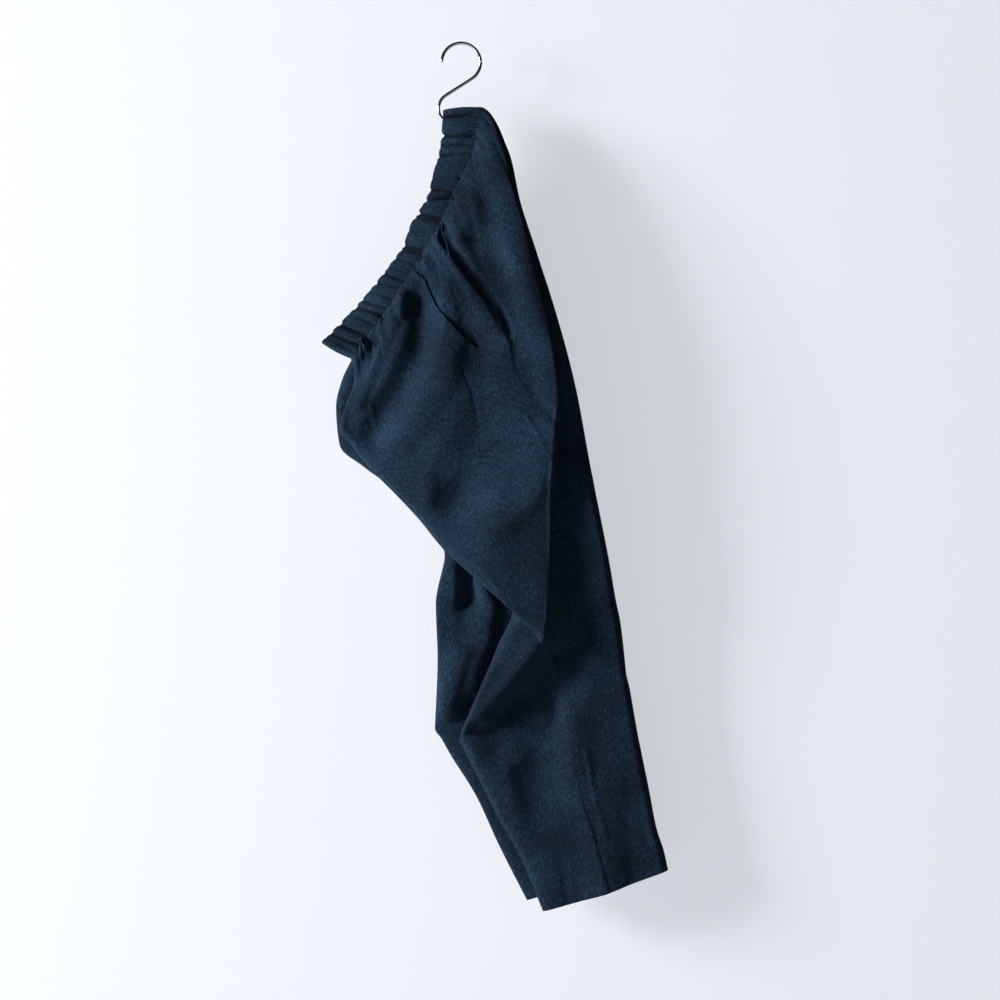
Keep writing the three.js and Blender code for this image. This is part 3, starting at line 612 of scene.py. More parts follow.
# Large folds: the line that each follows, how far it reaches on each side,
# how far its middle stands out, and its strength at the line's two ends
LEFT_FOLDS = {
    "frontRoll": ([(-66, -291), (-85, -330), (-104, -374), (-118, -406)], 14, 7, 0.7, 0.8),
    "pocketTrough": ([(-43, -293), (-41, -317), (-46, -347), (-64, -386), (-84, -417), (-94, -440)],
                     26, -21, 0.65, 0.4),
    "thighRidge": ([(-23, -284), (-15, -337), (-27, -388), (-71, -447)], 28, 8, 0.7, 0.8),
    "stripHollow": ([(115, -430), (116, -515), (115, -628), (107, -690)], 12, -13, 0.4, 0.35),
    "thighFace": ([(31, -363), (36, -406), (27, -451), (1, -499)], 44, -23, 0.4, 0.5),
    "shinEdge": ([(21, -799), (37, -845), (55, -894)], 36, 12, 1.0, 0.3),
    "middleTrough": ([(78, -368), (90, -402), (78, -449), (44, -497), (-3, -528)], 44, -19, 0.5, 0.6),
    "hipCleft": ([(-20, -216), (3, -251), (33, -289), (53, -325)], 10, -5, 1.0, 0.5),
    "hipTrough": ([(19, -228), (46, -280), (69, -334), (82, -377)], 30, -11, 1.0, 0.2),
    "seatRidge": ([(27, -119), (47, -167), (61, -221), (72, -277), (86, -345), (102, -402)],
                  21, 4.5, 0.6, 1.0),
    "seatHollow": ([(26, -171), (35, -212), (46, -257)], 16, -6, 0.6, 0.6),
    "seatFace": ([(-3, -189), (7, -215)], 12, 2.4, 1.0, 0.6),
    "kneeRidge": ([(97, -438), (77, -494), (42, -537), (1, -571)], 31, 8, 0.6, 0.6),
    "lobeRidge": ([(40, -555), (37, -582), (34, -619)], 36, 4, 0.5, 0.8),
    "lapRoll": ([(107, -407), (103, -447), (99, -515), (101, -594), (96, -652)], 4, 1.6, 1.0, 1.0),
    "underLap": ([(131, -611), (129, -667), (113, -713), (73, -753), (35, -784)], 40, -20, 0.2, 0.8),
    "tongueRidge": ([(95, -675), (64, -715), (28, -759)], 21, 12, 0.6, 0.8),
    "shinFace": ([(132, -729), (130, -791)], 28, 3, 0.8, 0.6),
    "shinTrough": ([(87, -765), (92, -811), (98, -854), (103, -893)], 42, -19, 1.0, 0.1),
    "shinRidge": ([(164, -820), (162, -859), (160, -906), (164, -959)], 34, 8, 0.1, 0.9),
    "shinCrease": ([(113, -910), (120, -962)], 9, -2, 0.3, 1.0),
}
RIGHT_FOLDS = {
    "seatTrough": ([(20, -180), (50, -280), (80, -380)], 24, -6, 1.0, 0.6),
    "seatRidge": ([(-8, -205), (22, -290), (44, -392)], 24, 5, 0.7, 0.5),
    "frontTrough": ([(-88, -322), (-96, -385), (-88, -450)], 22, -8, 1.0, 0.4),
    "pocketTrough": ([(-42, -262), (-40, -330), (-26, -395)], 20, -7, 1.0, 0.3),
    "thighRidge": ([(-14, -320), (8, -400), (20, -480)], 28, 5, 0.6, 0.8),
    "kneeTrough": ([(150, -560), (40, -640), (-10, -650)], 26, -7, 1.0, 0.7),
    "kneeRidge": ([(128, -600), (48, -676)], 22, 4, 0.8, 0.8),
    "calfTrough": ([(150, -690), (60, -740), (0, -770)], 22, -6, 0.8, 1.0),
    "shinRidge": ([(86, -800), (112, -866), (138, -930)], 22, 4, 0.7, 0.9),
    "shinTrough": ([(58, -800), (78, -900)], 20, -4, 0.8, 0.4),
}
# Where the near leg leaves it bare, below the lap and at the front of the hip, the far leg's
# inner layer bellies out past the middle plane
RIGHT_ROLL = {
    "roll": ([(9, -652), (2, -693), (-16, -747)], 24, 12, 0.9, 1.0),
    "pleat": ([(21, -605), (34, -634), (29, -673), (12, -729)], 13, 9, 0.9, 0.6),
    "pocketHollow": ([(10, -587), (9, -625), (3, -671)], 18, -14, 1.0, 0.6),
    "frontPuff": ([(-121, -365), (-131, -397), (-133, -433)], 14, 6, 0.8, 0.6),
}
ROLL_FOOT = -773
# Small tucks and creases, with how far each leans: towards 1 it drops off steeply on the
# right of its line, towards -1 on the left
LEFT_CREASES = [
    ([(-9, -170), (7, -179), (28, -187)], 6, 2.6, 1.0, 0.1, 0.7),
    ([(1, -150), (12, -158), (26, -171)], 5, 1.8, 1.0, 0.1, 0.7),
    ([(17, -107), (31, -111), (42, -119)], 6, -1.6, 1.0, 0.0, 0.0),
    ([(10, -121), (21, -137)], 5, -1.5, 1.0, 0.0, 0.0),
    ([(-19, -207), (-10, -228), (10, -255)], 6, -4.0, 1.0, 0.4, 0.2),
    ([(-10, -200), (-3, -216), (15, -246)], 7, 2.0, 1.0, 0.2, 0.2),
    ([(-31, -221), (-17, -241), (6, -277), (24, -313)], 7, 2.4, 1.0, 0.3, 0.3),
    ([(-37, -235), (-28, -248), (-24, -271)], 6, -3.0, 1.0, 0.1, -0.3),
    ([(-42, -246), (-35, -259)], 5, 2.0, 1.0, 0.2, 0.0),
    ([(-56, -264), (-49, -268), (-40, -276)], 4, -2.0, 1.0, 0.2, 0.0),
    ([(-69, -280), (-71, -302), (-78, -328)], 8, 3.0, 0.8, 0.3, 0.4),
    ([(-87, -311), (-82, -332), (-87, -352)], 6, -2.4, 1.0, 0.1, 0.2),
    ([(-78, -295), (-64, -323)], 6, -2.0, 1.0, 0.1, 0.0),
    ([(-98, -337), (-105, -354), (-113, -373)], 11, -12, 0.8, 0.4, 0.0),
    ([(-95, -335), (-89, -347), (-87, -361)], 4, -2.2, 1.0, 0.1, 0.0),
    ([(-24, -327), (-16, -338), (-6, -347)], 2.4, -0.8, 0.8, 0.2, 0.0),
    ([(-17, -334), (-7, -345), (3, -359)], 2.4, -0.7, 0.8, 0.2, 0.0),
    ([(2, -370), (12, -393), (19, -424), (17, -454)], 3.5, -1.3, 0.6, 0.2, 0.0),
    ([(44, -302), (58, -341), (64, -370)], 7, -3.0, 0.6, 0.2, 0.3),
    ([(26, -277), (42, -307), (53, -343)], 6, 1.6, 0.6, 0.2, 0.2),
    ([(73, -423), (84, -440), (96, -466)], 3.2, 1.8, 1.0, 0.4, 0.8),
    ([(90, -411), (99, -416), (104, -429)], 7, -2.6, 0.7, 0.5, 0.2),
    ([(43, -404), (55, -415), (62, -429)], 4, -1.1, 0.5, 0.3, 0.0),
    ([(-123, -394), (-130, -413), (-133, -433)], 5, 2.0, 0.8, 1.0, 0.0),
    ([(-130, -436), (-120, -451), (-107, -472), (-94, -485)], 5, 2.2, 1.0, 0.6, 0.0),
    ([(-123, -454), (-130, -445)], 8, -3.0, 1.0, 0.6, 0.0),
    ([(-101, -407), (-96, -433)], 4, 1.0, 0.6, 0.4, 0.0),
    ([(-28, -478), (-23, -499), (-28, -520)], 4, -1.0, 0.4, 0.4, 0.0),
    ([(1, -500), (37, -487), (60, -464)], 7, -1.6, 0.5, 0.6, 0.3),
    ([(-10, -569), (19, -586), (44, -616)], 6, 1.6, 0.6, 0.6, 0.3),
    ([(58, -659), (33, -690), (12, -743)], 9, 2.4, 0.6, 0.9, 0.5),
    ([(-2, -780), (19, -778), (46, -771)], 6, -2.6, 1.0, 0.1, 0.0),
    ([(28, -820), (44, -888), (67, -944)], 5, -1.0, 0.4, 0.4, 0.0),
    ([(112, -799), (119, -842), (125, -883)], 6, 1.0, 0.4, 0.3, 0.2),
    ([(140, -799), (148, -842), (160, -890)], 5, 1.6, 0.6, 0.6, 0.5),
    ([(202, -842), (209, -899)], 8, -1.0, 0.4, 0.4, 0.0),
]
RIGHT_CREASES = [
    ([(14, -112), (30, -128), (38, -150)], 6, -2.0, 1.0, 0.1, 0.2),
    ([(-4, -160), (14, -186), (26, -220)], 7, -3.0, 1.0, 0.2, 0.3),
    ([(-12, -188), (2, -222), (8, -262)], 7, 2.4, 1.0, 0.2, 0.3),
    ([(-26, -214), (-16, -246), (-12, -290)], 7, -3.0, 1.0, 0.2, -0.3),
    ([(-46, -246), (-42, -282), (-40, -318)], 7, 2.2, 1.0, 0.2, 0.2),
    ([(-68, -278), (-66, -312), (-70, -350)], 7, -3.0, 1.0, 0.2, 0.0),
    ([(-96, -316), (-98, -348), (-106, -380)], 6, 2.4, 1.0, 0.2, 0.3),
    ([(84, -430), (112, -452), (124, -470)], 5, -1.6, 0.4, 0.8, 0.4),
    ([(10, -540), (44, -556), (84, -552)], 7, -1.8, 0.6, 0.4, 0.3),
    ([(20, -700), (60, -716), (110, -704)], 7, -1.6, 0.4, 0.5, -0.3),
    ([(128, -660), (150, -700), (160, -742)], 6, 1.5, 0.4, 0.5, 0.3),
    ([(70, -850), (92, -930)], 5, -1.2, 0.4, 0.5, 0.0),
    ([(150, -800), (168, -880)], 6, 1.4, 0.4, 0.5, 0.4),
]
RUMPLES_EACH_PANEL = 70
RUMPLE_TURN = (-1.2, 0.55)
RUMPLE_HALF = (6, 24)
RUMPLE_BEND = (-0.35, 0.35)
RUMPLE_REACH = (3, 8)
RUMPLE_HEIGHT = (0.25, 0.75)
SLASH_END = 3.5
CLOTH_SPACING = 3.1
SECTION_POINTS = 700
INNER_POINTS = 160
INNER_CROWDING = 1.8
FINE_POINTS = 1500
HIDDEN_DENSITY = 0.38
CREASE_CROWDING = 0.9
CREASE_HALF = 8


def line_height(along, reach, tall, start, end, lean, x, z):
    """Height that one fold adds, seen from the side: strongest on its line, gone at its reach."""
    runs = [math.hypot(b[0] - a[0], b[1] - a[1]) for a, b in zip(along, along[1:])]
    total = sum(runs)
    nearest = np.full(np.shape(x), np.inf)
    height = np.zeros(np.shape(x))
    passed = 0.0
    for (start_x, start_z), (end_x, end_z), run in zip(along, along[1:], runs):
        step_x, step_z = (end_x - start_x) / run, (end_z - start_z) / run
        spot = np.clip((x - start_x) * step_x + (z - start_z) * step_z, 0, run)
        off_x, off_z = x - start_x - spot * step_x, z - start_z - spot * step_z
        distance = np.hypot(off_x, off_z)
        strength = mix(start, end, (passed + spot) / total)
        wide = reach * (1 + lean * np.sign(off_z * step_x - off_x * step_z)) if lean else reach
        profile = tall * strength * np.maximum(0, 1 - (distance / wide) ** 2) ** 2
        closer = distance < nearest
        height = np.where(closer, profile, height)
        nearest = np.minimum(nearest, distance)
        passed += run
    return height


def fold_height(folds, x, z):
    """Height that the large folds add together."""
    height = np.zeros(np.shape(x))
    for along, reach, tall, start, end in folds.values():
        height += line_height(along, reach, tall, start, end, 0, x, z)
    return height


def roll_height(folds, x, z):
    return fold_height(folds, x, z) * ease((z - ROLL_FOOT) / 6) if folds else np.zeros(np.shape(x))


def row_widths(row):
    """Widths of a section from its front crease to the lap, and from there to its back crease."""
    return (math.hypot(row["lapX"] - row["frontX"], row["lapZ"] - row["frontZ"]),
            math.hypot(row["backX"] - row["lapX"], row["backZ"] - row["lapZ"]))


def section_points(leg, row, distance, layer):
    """Points of one section on its outer or inner layer, at distances from the front crease."""
    front = np.array([row["frontX"], row["frontZ"]])
    lap = np.array([row["lapX"], row["lapZ"]])
    back = np.array([row["backX"], row["backZ"]])
    to_lap = np.hypot(*(lap - front))
    beyond = np.hypot(*(back - lap))
    width = to_lap + beyond
    before_lap = distance < to_lap
    share = np.where(before_lap, distance / to_lap, (distance - to_lap) / beyond)
    x = np.where(before_lap, mix(front[0], lap[0], share), mix(lap[0], back[0], share))
    z = np.where(before_lap, mix(front[1], lap[1], share), mix(lap[1], back[1], share))
    bulge = (row["frontDepth"] * (1 - share) * (1 - 2 * share) + row["middleDepth"] * 4 * share * (1 - share)
             + row["lapDepth"] * share * (2 * share - 1))
    strip = mix(row["stripDepth"], row["backDepth"] + 2, share)
    past_lap = mix(row["lapDepth"], strip, ease((distance - to_lap) / LAP_EDGE))
    base = np.where(before_lap, bulge, past_lap)
    outer = np.maximum(SHALLOWEST, base + fold_height(leg["folds"], x, z))
    crease = mix(LAYER_REST, outer, CREASE_SHARE)
    fullness = quarter_round(distance / CREASE_REACH) * quarter_round((width - distance) / CREASE_REACH)
    level = outer if layer == "outer" else LAYER_REST - roll_height(leg["roll"], x, z)
    return np.stack([x, leg["side"] * mix(crease, level, fullness), z], axis=-1), distance / width


def section_line(leg, place):
    """One section from the front's inner edge, over the outer layer, to the back's inner edge."""
    row = leg["at"](place)
    width = sum(row_widths(row))
    inward = (np.arange(INNER_POINTS, 0, -1) / INNER_POINTS) ** INNER_CROWDING
    front, front_share = section_points(leg, row, row["frontInner"] * width * inward, "inner")
    outer_places = width * (1 - np.cos(np.pi * np.linspace(0, 1, SECTION_POINTS))) / 2
    outer, outer_share = section_points(leg, row, outer_places, "outer")
    back, back_share = section_points(leg, row, width - row["backInner"] * width * inward[::-1], "inner")
    line = np.concatenate([front, outer, back])
    tags = np.concatenate([-front_share, outer_share, 2 - back_share])
    if place >= 1:
        return line, tags
    return blend_with_band(leg, line, tags, float(ease(place)))


def blend_with_band(leg, line, tags, share):
    ring, ring_share = band_line(leg["side"], 1 + BAND_GAP / BAND_WIDTH)
    ring, ring_tags = ring[::-1], 1 - ring_share[::-1]
    ring_lengths = running_length(ring)
    lengths = running_length(line)
    wanted = ring_lengths[-1] * lengths / lengths[-1]
    on_ring = points_at(ring, ring_lengths, wanted)
    on_ring_tags = np.interp(wanted, ring_lengths, ring_tags)
    blended = mix(on_ring, line, share)
    bulge = SEAT_BULGE * 4 * share * (1 - share) * clamp01(on_ring_tags) ** 5
    blended[:, 0] += bulge
    blended[:, 2] += bulge
    return blended, mix(on_ring_tags, tags, share)


def front_panel_edge(row, place):
    return row["slash"] if place < SLASH_END else row["seam"]


def row_places(leg, last):
    """Places down the leg whose rows lie about one cloth spacing apart."""
    sections = {}
    places = [0.0]
    for start in range(int(math.ceil(last))):
        end = min(start + 1, last)
        for place in (start, end):
            if place not in sections:
                line, _ = section_line(leg, float(place))
                lengths = running_length(line)
                sections[place] = points_at(line, lengths, np.linspace(0, lengths[-1], 60))
        gap = np.linalg.norm(sections[end] - sections[start], axis=1)
        steps = max(4, int(math.ceil(0.5 * (gap.mean() + gap.max()) / CLOTH_SPACING)))
        places += list(np.linspace(start, end, steps + 1)[1:])
    return places


def panel_grid(leg, places, count, edges):
    """Middle points of a panel, their place on the flat cloth, and their tags on the section."""
    rows = []
    across = []
    row_tags = []
    for place in places:
        row = leg["at"](place)
        line, tags = section_line(leg, place)
        lengths = running_length(line)
        rising = np.maximum.accumulate(tags + np.arange(len(tags)) * 1e-12)

        def length_at(tag):
            return float(np.interp(tag, rising, lengths))

        to_lap, beyond = row_widths(row)
        creases = [length_at(tag) for tag in (0, to_lap / (to_lap + beyond), 1)]
        start, end = edges(row, place, length_at, lengths[-1])
        fine = np.linspace(start, end, FINE_POINTS)
        tags_there = np.interp(fine, lengths, rising)
        shown = ease((np.minimum(tags_there, 1 - tags_there) + 0.06) / 0.04)
        crowding = mix(HIDDEN_DENSITY, 1, shown) + sum(
            CREASE_CROWDING * np.exp(-((fine - crease) / CREASE_HALF) ** 2) for crease in creases)
        total = np.concatenate([[0], np.cumsum((crowding[1:] + crowding[:-1]) / 2)])
        spots = np.interp(np.linspace(0, total[-1], count), total, fine)
        rows.append(points_at(line, lengths, spots))
        row_tags.append(np.interp(spots, lengths, rising))
        across.append(spots - length_at(row["seam"]))
    grid = np.array(rows)
    steps_down = np.linalg.norm(np.diff(grid, axis=0), axis=2)
    down = np.concatenate([np.zeros((1, count)), np.cumsum(steps_down, axis=0)])
    return grid, np.stack([np.array(across), -down], axis=-1), np.array(row_tags)


def panel_normals(leg, grid):
    """Directions out of the leg at each point, steadied where rows crowd together."""
    across = np.gradient(grid, axis=1)
    down = np.gradient(grid, axis=0)
    full = np.cross(across, down)
    size = np.linalg.norm(full, axis=2, keepdims=True)
    full = full / np.maximum(size, 1e-9)
    score = grid[..., 0] - 0.2 * grid[..., 2]

    def row_point(columns):
        return np.take_along_axis(grid, columns[:, None, None].repeat(3, 2), axis=1)[:, 0]

    run = row_point(score.argmax(axis=1)) - row_point(score.argmin(axis=1))
    run[:, 1] = 0
    run /= np.linalg.norm(run, axis=1, keepdims=True) + 1e-9
    along = across[..., 0] * run[:, None, 0] + across[..., 2] * run[:, None, 2]
    facing = np.stack([-across[..., 1] * run[:, None, 0], along,
                       -across[..., 1] * run[:, None, 2]], axis=-1)
    facing *= leg["side"] / (np.linalg.norm(facing, axis=2, keepdims=True) + 1e-9)
    agree = np.sign((full * facing).sum(axis=2, keepdims=True))
    full = full * np.where(agree == 0, 1, agree)
    trust = clamp01((size - 0.05) / 0.5)
    normals = full * trust + facing * (0.15 + 0.5 * (1 - trust))
    normals /= np.linalg.norm(normals, axis=2, keepdims=True) + 1e-9
    return smooth_normals(normals, 1)


def keep_on_side(leg):
    rest = LAYER_GAP / 2

    def keep(skin):
        free = roll_height(leg["roll"], skin[..., 0], skin[..., 2]) > 0.2
        depth = leg["side"] * skin[..., 1]
        skin = skin.copy()
        skin[..., 1] = np.where((depth < rest) & ~free, leg["side"] * rest, skin[..., 1])
        return skin
    return keep


LEFT_LEG = {"side": -1, "at": table_curves(LEG_COLUMNS, LEFT_ROWS), "folds": LEFT_FOLDS, "roll": {},
            "creases": LEFT_CREASES, "gathers": LEFT_GATHERS, "last": len(LEFT_ROWS) - 1, "seed": 5}
RIGHT_LEG = {"side": 1, "at": table_curves(LEG_COLUMNS, RIGHT_ROWS), "folds": RIGHT_FOLDS, "roll": RIGHT_ROLL,
             "creases": RIGHT_CREASES, "gathers": RIGHT_GATHERS, "last": len(RIGHT_ROWS) - 1, "seed": 9}
HEM_DEPTH = 25
COLUMN_COUNT = 150
BAND_LENGTH = 312
# Seam allowance that stands up inside the casing: how far up, and how far in
ALLOWANCE = [(9.0, 2.4), (4.0, 2.2), (1.2, 1.1)]
EXTRA_PUCKERS = 26
SEAM_SWELL = 0.8
SEAM_SWELL_FALL = 14


def front_edges(row, place, length_at, total):
    trim = 0 if place < SLASH_END else SEAM_GAP / 2
    return SEAM_GAP / 2, length_at(front_panel_edge(row, place)) - trim


def back_edges(row, place, length_at, total):
    return length_at(row["seam"]) + SEAM_GAP / 2, total - SEAM_GAP / 2


def pucker_height(leg, tags, down):
    """Small folds that run down from the seam where the band gathers the leg."""
    chance = np.random.default_rng(leg["seed"])
    height = np.zeros_like(down)
    drawn = [(place, deep, chance.uniform(16, 34)) for place, deep, _ in leg["gathers"]]
    drawn += [(chance.uniform(0.03, 0.97), chance.uniform(0.5, 1.5), chance.uniform(8, 20))
              for _ in range(EXTRA_PUCKERS)]
    for place, deep, fall in drawn:
        offset = (tags - (1 - place)) * BAND_LENGTH + chance.uniform(-0.25, 0.25) * down
        width = 1.8 + 0.09 * down
        height -= 0.95 * deep * np.exp(-(offset / width) ** 2) * np.exp(-down / fall)
    return height + SEAM_SWELL * np.exp(-down / SEAM_SWELL_FALL)


def rumple_height(leg, grid, seed):
    """Short soft creases from wear and washing, scattered over a panel."""
    chance = np.random.default_rng(seed)
    height = np.zeros(grid.shape[:2])
    x, z = grid[..., 0], grid[..., 2]
    for _ in range(RUMPLES_EACH_PANEL):
        row, column = chance.integers(0, grid.shape[0]), chance.integers(0, grid.shape[1])
        middle_x, middle_z = x[row, column], z[row, column]
        turn = chance.normal(*RUMPLE_TURN)
        half = chance.uniform(*RUMPLE_HALF)
        bend = chance.uniform(*RUMPLE_BEND) * half
        step_x, step_z = math.cos(turn), math.sin(turn)
        along = [
            (middle_x - step_x * half, middle_z - step_z * half),
            (middle_x - step_z * bend, middle_z + step_x * bend),
            (middle_x + step_x * half, middle_z + step_z * half),
        ]
        tall = chance.uniform(*RUMPLE_HEIGHT) * chance.choice([-1, 1])
        height += line_height(along, chance.uniform(*RUMPLE_REACH), tall, 0.4, 0.5, 0, x, z)
    return height


def make_panel(leg, name, edges, count=COLUMN_COUNT, sink=0.0, last=None, hemmed=True, seed=1):
    places = row_places(leg, last or leg["last"])
    grid, grain, tags = panel_grid(leg, places, count, edges)
    normals = panel_normals(leg, grid)
    down = -grain[..., 1]
    shown = ease((tags + 0.01) / 0.03) * ease((1.01 - tags) / 0.03)
    relief = rumple_height(leg, grid, seed) * ease(down / 20)
    for crease in leg["creases"]:
        relief += line_height(*crease, grid[..., 0], grid[..., 2])
    on_outside = ease((tags + 0.06) / 0.06), ease((1.06 - tags) / 0.06)
    relief = relief * shown + pucker_height(leg, tags, down) * on_outside[0] * on_outside[1]
    grid = grid + normals * relief[..., None]
    up = grid[0] - grid[2]
    up /= np.linalg.norm(up, axis=1, keepdims=True)
    tucked_in = mix(0.2, 1, ease(tags[0] / 0.06))[:, None]
    raised = np.array([grid[0] + (up * above - normals[0] * inside) * tucked_in
                       for above, inside in ALLOWANCE])
    grid = np.concatenate([raised, grid])
    above = np.array([[above] for above, _ in ALLOWANCE])
    raised_grain = np.stack([np.repeat(grain[:1, :, 0], len(ALLOWANCE), axis=0),
                             above + 0 * grain[:1, :, 1]], axis=-1)
    grain = np.concatenate([raised_grain, grain])
    normals = panel_normals(leg, grid)
    from_hem = grain[-1:, :, 1] - grain[..., 1]
    turned = ease((HEM_DEPTH + 1 + from_hem) / 2)[..., None] * CLOTH if hemmed else 0
    outer = CLOTH / 2 - sink
    inner = -CLOTH / 2 - sink - turned
    panel = cloth_shell(name, grid, normals, outer, inner, grain, linen, keep_side=keep_on_side(leg))
    return panel, grid + normals * outer, grain


panels = {}
slash_rows = {}
for leg, half in ((LEFT_LEG, "left"), (RIGHT_LEG, "right")):
    for part, edges in (("front", front_edges), ("back", back_edges)):
        node = f"{half}_{part}"
        panel, face, grain = make_panel(leg, f"{node}_panel", edges, seed=leg["seed"] + len(panels))
        panels[node] = (panel, face, grain)
        slash_rows[half] = len(ALLOWANCE) + sum(place <= SLASH_END for place in row_places(leg, leg["last"]))
        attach(panel, "root")
        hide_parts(node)


# Pocket facings: a piece of the same linen behind each slash opening. It lies under the
# front panel's cut edge and is sewn into the side seam.
POCKET_UNDERLAP = 10
POCKET_SINK = 2.5
FACING_COLUMNS = 40
FACING_SEED = 3


def facing_edges(row, place, length_at, total):
    start = length_at(front_panel_edge(row, place)) - POCKET_UNDERLAP
    return start, length_at(row["seam"]) - SEAM_GAP / 2


for leg, half in ((LEFT_LEG, "left"), (RIGHT_LEG, "right")):
    facing, _, _ = make_panel(leg, f"{half}_pocket_facing", facing_edges, count=FACING_COLUMNS,
                              sink=POCKET_SINK, last=SLASH_END, hemmed=False, seed=FACING_SEED)
    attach(facing, "root")
    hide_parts(f"{half}_pocket")


# Stitching: navy thread in a lockstitch, round each hem, beside each pocket opening and
# along the casing's lower edge. Each stitch is a short length of thread sunk at its ends.
THREAD = 0.45
STITCH_PITCH = 3.2
STITCH_LENGTH = 2.5
CASING_SEAM_AT = 0.93

thread, tree, shader = bare_material("navy_thread")
twist = object_noise(tree, {"Scale": 900})
fill(tree, shader, {
    "Base Color": colour_ramp(tree, twist, [(0.35, (0.003, 0.008, 0.016)), (0.65, (0.008, 0.018, 0.034))]),
    "Roughness": 0.6, "Sheen Weight": 0.1,
})


def make_stitch_tree():
    """Stitches along an edge: evenly spaced, turned with it, each an oval bead of thread."""
    tree = bpy.data.node_groups.new("lockstitch", "GeometryNodeTree")
    sizes = [(name, "NodeSocketFloat", None) for name in ("Pitch", "Stitch Length", "Thread")]
    enter, leave = add_sockets(
        tree,
        [("Seam", "NodeSocketGeometry", None), *sizes, ("Finish", "NodeSocketMaterial", None)],
        [("Stitches", "NodeSocketGeometry")],
    )
    given = enter.outputs
    line = add_node(tree, "GeometryNodeMeshToCurve", {"Mesh": given["Seam"]})
    spaced = add_node(tree, "GeometryNodeCurveToPoints", {
        "Curve": line.outputs["Curve"], "Length": given["Pitch"],
    }, mode="LENGTH")
    bead = add_node(tree, "GeometryNodeMeshUVSphere", {"Segments": 8, "Rings": 6, "Radius": 0.5})
    size = add_node(tree, "ShaderNodeCombineXYZ", {
        "X": given["Thread"], "Y": given["Thread"], "Z": given["Stitch Length"],
    })
    shaped = add_node(tree, "GeometryNodeTransform", {
        "Geometry": bead.outputs["Mesh"], "Scale": size.outputs["Vector"],
    })
    turned = add_node(tree, "FunctionNodeAlignEulerToVector", {"Vector": spaced.outputs["Tangent"]}, axis="Z")
    sewn = add_node(tree, "GeometryNodeInstanceOnPoints", {
        "Points": spaced.outputs["Points"], "Instance": shaped.outputs["Geometry"],
        "Rotation": turned.outputs["Rotation"],
    })
    whole = add_node(tree, "GeometryNodeRealizeInstances", {"Geometry": sewn.outputs["Instances"]})
    finished = add_node(tree, "GeometryNodeSetMaterial", {
        "Geometry": whole.outputs["Geometry"], "Material": given["Finish"],
    })
    fill(tree, leave, {"Stitches": finished.outputs["Geometry"]})
    return tree


lockstitch = make_stitch_tree()


def sew(name, seams):
    """One plain mesh of all the stitches along the seams, given as lines of points in mm."""
    points = [tuple(point) for seam in seams for point in (seam * MM)]
    edges = []
    start = 0
    for seam in seams:
        edges += [(start + i, start + i + 1) for i in range(len(seam) - 1)]
        start += len(seam)
    guide_mesh = bpy.data.meshes.new(name)
    guide_mesh.from_pydata(points, edges, [])
    guide = placed(name + "_guide", guide_mesh)
    sewing = guide.modifiers.new("lockstitch", "NODES")
    sewing.node_group = lockstitch
    values = {"Pitch": STITCH_PITCH * MM, "Stitch Length": STITCH_LENGTH * MM,
              "Thread": THREAD * MM, "Finish": thread}
    for socket in lockstitch.interface.items_tree:
        if socket.in_out == "INPUT" and socket.name in values:
            sewing[socket.identifier] = values[socket.name]
    seen = guide.evaluated_get(bpy.context.evaluated_depsgraph_get())
    mesh = bpy.data.meshes.new_from_object(seen)
    mesh.name = name
    mesh.polygons.foreach_set("use_smooth", [True] * len(mesh.polygons))
    guide.modifiers.remove(sewing)
    bpy.data.objects.remove(guide)
    made = placed(name, mesh)
    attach(made, "root")


def hem_seam(face, grain):
    """The line of the hem's stitches, its own depth up from the cut edge of one panel."""
    from_hem = grain[..., 1] - grain[-1:, :, 1]
    line = []
    for column in range(0, face.shape[1], 2):
        rising = from_hem[::-1, column]
        line.append([np.interp(HEM_DEPTH, rising, face[::-1, column, axis]) for axis in range(3)])
    return np.array(line)


def slash_seam(face, rows):
    """Beside the cut edge of a pocket opening, four columns in from it."""
    return face[3:rows, -5]


seams = {"left": [], "right": []}
for node, (panel, face, grain) in panels.items():
    half, part = node.split("_")
    seams[half].append(hem_seam(face, grain))
    if part == "front":
        seams[half].append(slash_seam(face, slash_rows[half]))
for half in seams:
    sew(f"{half}_leg_stitching", seams[half])
casing_row = int(np.argmin(abs(band_widths - CASING_SEAM_AT)))
sew("casing_stitching", [band_face[casing_row]])


# Stage: a pale plaster wall close behind the trousers, a pale floor below, and one large
# soft window of light far to the left, with weaker light from the front and from behind.
# Only the camera sees the wall's own light, and the cloth gets none of it.
WALL_Y = 40 * MM
FLOOR_Z = -1.32
REACH = 4
LIGHT_TARGET = (0.0, 0, -0.5)


def stage_plane(name, corners, material):
    mesh = bpy.data.meshes.new(name)
    mesh.from_pydata(corners, [], [(0, 1, 2, 3)])
    mesh.materials.append(material)
    made = placed(name, mesh)


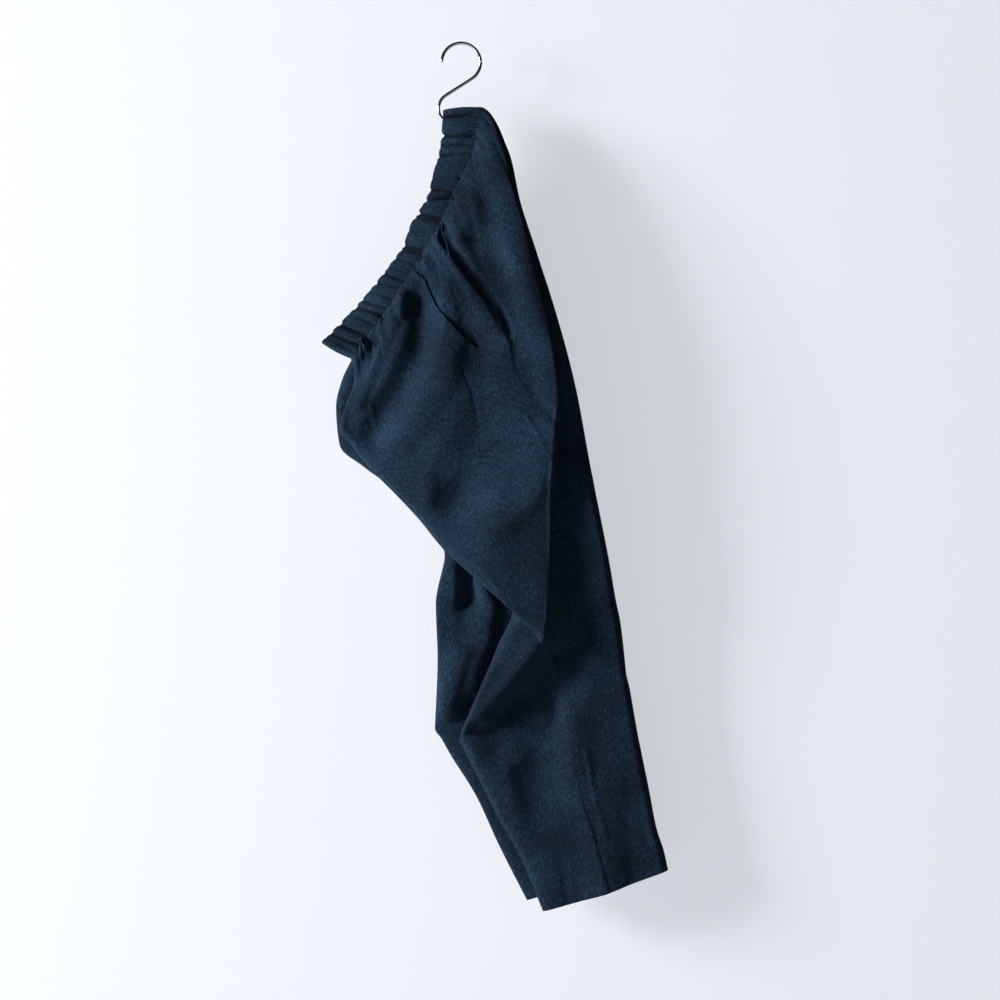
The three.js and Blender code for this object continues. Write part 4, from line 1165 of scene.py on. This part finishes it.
plaster, tree, shader = bare_material("pale_plaster")
fill(tree, shader, {
    "Base Color": (0.40, 0.41, 0.42, 1), "Roughness": 0.95, "Specular IOR Level": 0.0,
    "Emission Color": (0.91, 0.94, 0.99, 1), "Emission Strength": 0.60,
})
geometry = add_node(tree, "ShaderNodeNewGeometry", {})
path = add_node(tree, "ShaderNodeLightPath", {})
clear = add_node(tree, "ShaderNodeBsdfTransparent", {})
front = add_node(tree, "ShaderNodeMath", {
    0: path.outputs["Is Camera Ray"], 1: geometry.outputs["Backfacing"],
}, operation="SUBTRACT", use_clamp=True)
choose = add_node(tree, "ShaderNodeMixShader", {
    "Fac": front.outputs[0], 1: clear.outputs["BSDF"], 2: shader.outputs["BSDF"],
})
fill(tree, tree.nodes["Material Output"], {"Surface": choose.outputs["Shader"]})
wall_corners = [(-REACH, -1.4), (REACH, -1.4), (REACH, 3), (-REACH, 3)]
stage_plane("wall", [(x, WALL_Y, z) for x, z in wall_corners], plaster)

floor_paint, tree, shader = bare_material("pale_floor")
fill(tree, shader, {"Base Color": (0.78, 0.80, 0.83, 1), "Roughness": 0.9})
floor_corners = [(-REACH, -5), (REACH, -5), (REACH, 3), (-REACH, 3)]
stage_plane("floor", [(x, y, FLOOR_Z) for x, y in floor_corners], floor_paint)


def area_light(name, place, width, height, power, colour):
    data = bpy.data.lights.new(name, "AREA")
    data.shape = "RECTANGLE"
    data.size = width
    data.size_y = height
    data.energy = power
    data.color = colour
    made = placed(name, data)
    made.location = place
    made.rotation_euler = (Vector(LIGHT_TARGET) - Vector(place)).to_track_quat("-Z", "Y").to_euler()


area_light("window", (-3.95, -1.42, 0.40), 1.0, 1.4, 320, (0.965, 0.975, 1.0))
area_light("room", (1.2, -3.6, 0.6), 2.6, 2.2, 1.2, (0.80, 0.90, 1.0))
area_light("behind", (-1.6, 2.8, 0.4), 1.8, 1.8, 34, (0.90, 0.95, 1.0))

# The room is pale to look at, and gives little light of its own
world = bpy.data.worlds.new("pale_room")
world.use_nodes = True
tree = world.node_tree
light_given = tree.nodes["Background"]
fill(tree, light_given, {"Color": (0.70, 0.84, 1.0, 1), "Strength": 0.013})
seen = add_node(tree, "ShaderNodeBackground", {"Color": (0.80, 0.84, 0.88, 1)})
path = add_node(tree, "ShaderNodeLightPath", {})
pick = add_node(tree, "ShaderNodeMixShader", {
    "Fac": path.outputs["Is Camera Ray"], 1: light_given.outputs["Background"], 2: seen.outputs["Background"],
})
fill(tree, tree.nodes["World Output"], {"Surface": pick.outputs["Shader"]})
bpy.context.scene.world = world
bpy.context.scene.view_settings.view_transform = "Standard"
